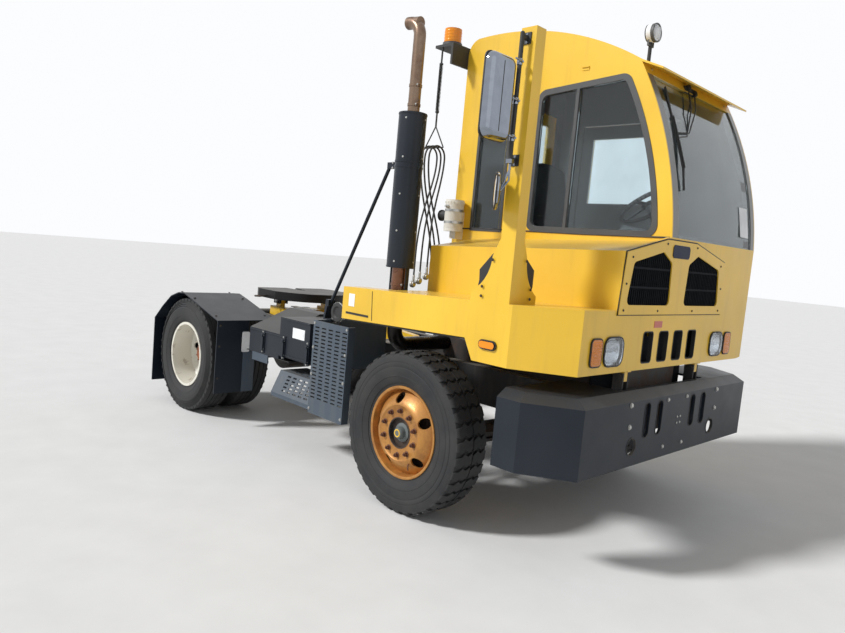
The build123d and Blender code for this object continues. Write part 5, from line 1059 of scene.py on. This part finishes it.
def make_side_trim():
    """Latches, blank labels, horn, guard post, lid seams and bolts on the boxes and the slotted panel."""
    black, zinc, paper, dark, post = new_shapes(5)
    face, guard_x, plate_y = -1110, X_REAR + 666, -990
    for x, z in ((-1783, 820), (-1482, 820), (-1158, 822)):
        put_box(black, front(x, face - 4, z), (46, 8, 182))
        put_box(black, front(x, face - 13, z - 10), (30, 12, 126))
        put_box(black, front(x, face - 20, z + 52), (30, 10, 22))
        for depth, lift in ((12, 52), (10, -60)):
            put_rod(zinc, front(x - 19, face - depth, z + lift), front(x + 19, face - depth, z + lift), 4, 10)
        put_bolts(zinc, [front(x, face - 8, z + lift) for lift in (-82, 82)], RIGHT, 6, 4)
    put_box(paper, front(-1290, face - 1.2, 955), (160, 2.4, 80))
    put_box(paper, front(-541, -1221.2, 1306), (60, 2.4, 85))
    horn = front(-797, -1125, 1188)
    put_lathe(dark, [(-30, 0), (-30, 30), (-6, 42), (0, 74), (8, 74), (18, 66),
                     (20, 44), (10, 34), (10, 0)], horn, RIGHT, 36, close=False)
    put_lathe(zinc, [(9, 74.5), (13, 70.5), (9, 74.5)], horn, RIGHT, 36, close=False)
    put_box(dark, horn + Vector((0, 12, -54)), (30, 5, 100))
    put_box(dark, horn + Vector((0, -3, -74.5)), (30, 34, 4))
    put_box(post, (guard_x + 4, -946.5, 478), (8, 115, 382))
    put_box(post, (guard_x + 4, plate_y, 745), (8, 50, 170))
    put_box(post, front(-1827, face + 6, 681), (238, 10, 70))
    put_pane(paper, (70, 178, 12), (guard_x + 8.5, plate_y, 736), 12)
    add_piece("guard_post", post, "blue_grey", "chassis", bevel=1)
    bolts = [front(x, -1150, z) for x in (-1035, -655) for z in (440, 700, 900, 1080)]
    put_bolts(zinc, bolts, RIGHT, 9, 7)
    for x0, x1, z in ((-1996, -1470, 900), (-1460, -1150, 1045), (-1460, -1150, 760)):
        put_box(black, front((x0 + x1) / 2, face - 3, z), (x1 - x0, 6, 10))
    # Near-black plate under the boxes: painted shade in the gap below them.
    put_box(dark, front(-1735, -1020, 712), (640, 160, 6))
    add_piece("box_latches", black, "black", "chassis", bevel=1.5)
    add_piece("box_screws", zinc, "zinc", "chassis")
    add_piece("blank_labels", paper, "paper", "chassis")
    add_piece("side_horn_and_shade_plate", dark, "lamp_body", "chassis")


def make_bumper_bolts():
    """Bolt heads on the bumper, rims of its openings, and a near-black sheet behind them as painted shade in
    the openings.
    """
    zinc, rim, shade_sheet = new_shapes(3)
    face = X_FRONT + 1235
    for y, z, size in (
        (-582, 920, 12.5), (-577, 793, 12.5), (582, 920, 12.5), (577, 793, 12.5),
        (22, 790, 6), (62, 790, 6), (22, 752, 6), (62, 752, 6),
        (-127, 912, 10), (127, 912, 10), (-134, 620, 10), (122, 615, 10),
    ):
        put_bolts(zinc, [(face, y, z)], AHEAD, size, size * 0.8)
    for side in (-1, 1):
        for y in (378, 223):
            put_rim(rim, (74, 218, 36), (64, 208, 31.5), (face - 1, side * y, 813), 3)
        put_lathe(rim, [(0, 55), (4, 55), (4, 49), (-12, 49)],
                  (face - 1, side * 530, 672), AHEAD, 32, close=False)
    # Near-black sheet behind the bumper's openings: painted shade seen through them.
    put_box(shade_sheet, front(952, 0, 865), (10, 1160, 400))
    add_piece("bumper_opening_shade", shade_sheet, "dark", "chassis")
    add_piece("bumper_bolts", zinc, "zinc", "chassis")
    add_piece("bumper_rims", rim, "frame_black", "chassis")


def make_fender_trim():
    """Bolts of the gussets, near-black plates beside their edges, the arch lip and the rear fender bolts."""
    zinc, dark, bolts, patches = new_shapes(4)
    put_bolts(zinc, [front(x, -1228.5, z) for x, z in ((659, 1667), (600, 1515), (600, 1462))],
              RIGHT, 6.5, 6)
    put_bolts(zinc, [front(803.5, y, z) for y, z in ((-1113, 1674), (-1055, 1520), (-1055, 1467))],
              AHEAD, 6.5, 6)
    # Near-black plates beside the gussets' cut edges.
    rear_patch = ((710, 1740), (647, 1698), (563, 1607), (568, 1549), (563, 1520), (600, 1480), (710, 1480))
    put_plate(patches, [front(x, -1219, z) for x, z in rear_patch], (0, 5, 0))
    front_patch = ((-1160, 1730), (-1106, 1691), (-1025, 1626), (-1025, 1532), (-1050, 1480), (-1160, 1480))
    put_plate(patches, [front(793.5, y, z) for y, z in front_patch], (-5, 0, 0))
    add_piece("gusset_patches", patches, "seal")
    arch = ((-620, 1166), (430, 1204), (500, 1196), (560, 1100))
    put_tube(dark, [front(x, -1205, z) for x, z in arch], 7, 8)
    put_tube(dark, [front(-336, -1220.5, 1386), front(-321, -1220.5, 1194)], 2.5, 6)
    put_box(dark, front(-477, -1221.2, 1216), (236, 2.4, 14))
    for side in (-1, 1):
        for x, z in ((-430, 925), (-110, 1088), (150, 1060), (560, 950)):
            put_bolts(bolts, [rear(x, side * y, z + 1) for y in (740, 1225)], UP, 9, 7)
        put_bolts(bolts, [rear(666, side * 1235, z) for z in (420, 700, 880)], AHEAD, 9, 7)
    add_piece("post_bolts", zinc, "cast")
    add_piece("arch_lip", dark, "seal")
    add_piece("rear_fender_bolts", bolts, "cast", "chassis")


def make_coupling_trim():
    """The plate's release handle and its pin's caps."""
    black, zinc = new_shapes(2)
    for side in (-1, 1):
        put_lathe(zinc, [(0, 30), (6, 30), (10, 22)], rear(96, side * 322, 1047), (0, side, 0), 24)
    put_tube(black, [
        rear(100, -430, 1092), rear(100, -480, 1090), rear(90, -520, 1084),
        rear(40, -540, 1082), rear(40, -500, 1082),
    ], 9, 10)
    add_piece("release_handle", black, "cast", "coupling_plate")
    add_piece("pin_caps", zinc, "bright", "coupling_plate")


def make_tail():
    """Lenses, rims and screws of the tail lamps."""
    red, black, zinc = new_shapes(3)
    x, z = X_REAR - 660, 840
    for side in (-1, 1):
        y = side * 512
        put_rim(black, (160, 100, 12), (136, 76, 8), (x - 4, y, z), 6)
        put_pane(red, (134, 74, 8), (x - 3, y, z), 4)
        for index in range(8):
            put_box(red, (x - 4, y - 56 + index * 16, z), (1.6, 6, 66))
        screws = [(x - 1, side * screw_y, screw_z) for screw_y in (446, 578) for screw_z in (796, 884)]
        put_bolts(zinc, screws, (-1, 0, 0), 4, 3)
    add_piece("tail_lenses", red, "red", "chassis")
    add_piece("tail_rims", black, "lamp_body", "chassis")
    add_piece("tail_screws", zinc, "zinc", "chassis")


# Cab inside

def put_pad(shape, centre, size, turn=None, crown=20, cells=16):
    """Stuffed cushion: a closed block with rounded edges, a crowned face and sewn grooves."""
    turn = (turn or Matrix()).to_3x3()
    made = {}
    for axis in range(3):
        for end in (-1, 1):
            for i in range(cells):
                for j in range(cells):
                    corners = []
                    for di, dj in ((0, 0), (1, 0), (1, 1), (0, 1)):
                        key = [0, 0, 0]
                        key[axis] = end * cells
                        key[(axis + 1) % 3] = 2 * (i + di) - cells
                        key[(axis + 2) % 3] = 2 * (j + dj) - cells
                        key = tuple(key)
                        if key not in made:
                            made[key] = shape.verts.new(
                                Vector(centre) + turn @ pad_point(Vector(key) / cells, size, crown)
                            )
                        corners.append(made[key])
                    shape.faces.new(corners)


def pad_point(at, size, crown):
    """Place on a cushion, from a point of a cube of half size 1."""
    squared = [value * value for value in at]
    ball = Vector()
    for i in range(3):
        other, third = squared[(i + 1) % 3], squared[(i + 2) % 3]
        ball[i] = at[i] * math.sqrt(1 - other / 2 - third / 2 + other * third / 3)
    share = max(abs(at.x), abs(at.y)) ** 8
    place = at.lerp(ball, 0.12 + 0.28 * share)
    bulge = crown * (1 - squared[0]) * (1 - squared[1])
    groove = 12 * math.exp(-((abs(at.y) - 0.56) / 0.06) ** 2) + 10 * math.exp(-((at.x - 0.1) / 0.05) ** 2)
    wrinkle = 1.6 * math.sin(19 * at.x + 6 * at.y) * math.sin(17 * at.y - 5 * at.x)
    half = Vector(size) / 2
    lift = (bulge - groove * (1 - share) + wrinkle) * max(0, at.z)
    return Vector((place.x * half.x, place.y * half.y, place.z * (half.z - crown) + lift))


def make_seat():
    """Cushion and back of cloth, on a frame over a bellows."""
    base, back, under = new_shapes(3)
    middle = 650
    lean = Matrix.Rotation(math.radians(90 - 9), 4, "Y") @ Matrix.Rotation(math.radians(180), 4, "Z")
    put_pad(base, front(-80, middle, 1822), (490, 490, 116))
    put_pad(back, front(-362, middle, 2170), (640, 480, 105), lean)
    for name, shape in (("seat_cushion", base), ("seat_back", back)):
        piece = add_piece(name, shape, "seat", sharp=60, stands_for="driver_seat")
    put_box(under, front(-80, middle, 1754), (440, 430, 22))
    for x in (-205, 65):
        put_box(under, front(x, middle, 1730), (40, 260, 30))
    for index in range(7):
        size = 310 if index % 2 else 290
        put_box(under, front(-70, middle, 1400 + index * 50), (size, size * 0.84, 46))
    put_box(under, front(-70, middle, 1348), (320, 260, 54))
    for side in (-1, 1):
        bar = ((-290, 215, 1770), (-340, 215, 1860), (-400, 200, 2200))
        put_tube(under, [front(x, middle + side * y, z) for x, y, z in bar], 12, 10)
    add_piece("seat_frame", under, "lamp_body", bevel=4, stands_for="driver_seat")


def make_dash():
    """Steering wheel on its column, gauges and a row of switches."""
    black, dial, screen = new_shapes(3)
    foot, centre = front(760, 560, 1900), front(590, 560, 2150)
    axis = (centre - foot).normalized()
    turn = turn_to(axis).to_3x3()
    ring = [centre + turn @ around((0, 0, 0), 215, 7.5 * index, True) for index in range(49)]
    put_tube(black, ring, 15.5, 12)
    for angle in (0, 90, 180):
        out = turn @ around((0, 0, 4), 205, angle, True)
        put_tube(black, [centre + axis * 10, centre + out * 0.5 + axis * 8, centre + out], 13, 8)
    put_lathe(black, [(-4, 30), (0, 52), (12, 55), (20, 46), (24, 20), (24, 0)],
              centre, axis, 28, close=False)
    put_lathe(black, [(0, 46), (120, 40), (240, 34)], foot, axis, 24)
    lean = Matrix.Rotation(math.radians(-31), 4, "Y")
    put_box(black, front(728, 560, 1925), (70, 420, 10), lean)
    for y in (420, 560, 700):
        put_lathe(dial, [(0, 50), (8, 50), (8, 44), (4, 44), (4, 0)],
                  front(722, y, 1918), (-0.86, 0, 0.51), 28, close=False)
    for index in range(6):
        put_box(screen, front(731, 50 + index * 45, 1920), (12, 26, 36), lean)
    add_piece("steering_wheel", black, "lamp_body")
    add_piece("gauges", dial, "grey_trim")
    add_piece("switches", screen, "dark", bevel=2)


# Stage

def make_floor():
    shape, mesh = bmesh.new(), bpy.data.meshes.new("floor")
    bmesh.ops.create_grid(shape, x_segments=1, y_segments=1, size=60)
    shape.to_mesh(mesh)
    shape.free()
    floor = bpy.data.objects.new("floor", mesh)
    bpy.context.scene.collection.objects.link(floor)
    material, tree, shader, place = start_material("pale_floor")
    tone = ramp(tree, noise(tree, place, 3, 4), 0.3, 0.7)
    pale = colour_mix(tree, tone, (0.78, 0.78, 0.77, 1), (0.82, 0.82, 0.81, 1))
    tree.links.new(pale, shader.inputs["Base Color"])
    shader.inputs["Roughness"].default_value = 0.9
    mesh.materials.append(material)


def make_light():
    """White background, dimmer where it only lights, a soft sun and a weak fill."""
    world = bpy.data.worlds.new("world")
    bpy.context.scene.world = world
    world.use_nodes = True
    tree = world.node_tree
    tree.nodes.clear()
    out = tree.nodes.new("ShaderNodeOutputWorld")
    path = tree.nodes.new("ShaderNodeLightPath")
    seen = math_node(tree, "MAXIMUM", path.outputs["Is Camera Ray"], path.outputs["Is Transmission Ray"])
    seen = math_node(tree, "MAXIMUM", seen, math_node(tree, "MULTIPLY", path.outputs["Is Glossy Ray"], 0.85))
    strength = level(tree, seen, 0.37, 1.0)
    background = node(tree, "ShaderNodeBackground", {"Color": (0.97, 0.98, 1, 1), "Strength": strength})
    tree.links.new(background.outputs[0], out.inputs[0])

    for name, power, angle, aim in (
        ("key", 2.9, 8, (0.42, 0.8, -0.72)), ("fill", 0.15, 60, (-0.9, 0.35, -0.35)),
    ):
        data = bpy.data.lights.new(name, "SUN")
        data.energy = power
        data.angle = math.radians(angle)
        lamp = bpy.data.objects.new(name, data)
        lamp.rotation_euler = Vector(aim).to_track_quat("-Z", "Y").to_euler()
        bpy.context.scene.collection.objects.link(lamp)


bpy.context.scene.view_settings.view_transform = "Standard"
make_camera()
make_floor()
make_light()
dress_nodes()
make_cords()
make_wheels()
make_lamps()
make_grille()
make_mirrors()
make_wiper()
make_beacon()
make_cab_trim()
make_canister()
make_exhaust_trim()
make_side_trim()
make_bumper_bolts()
make_fender_trim()
make_coupling_trim()
make_tail()
make_seat()
make_dash()
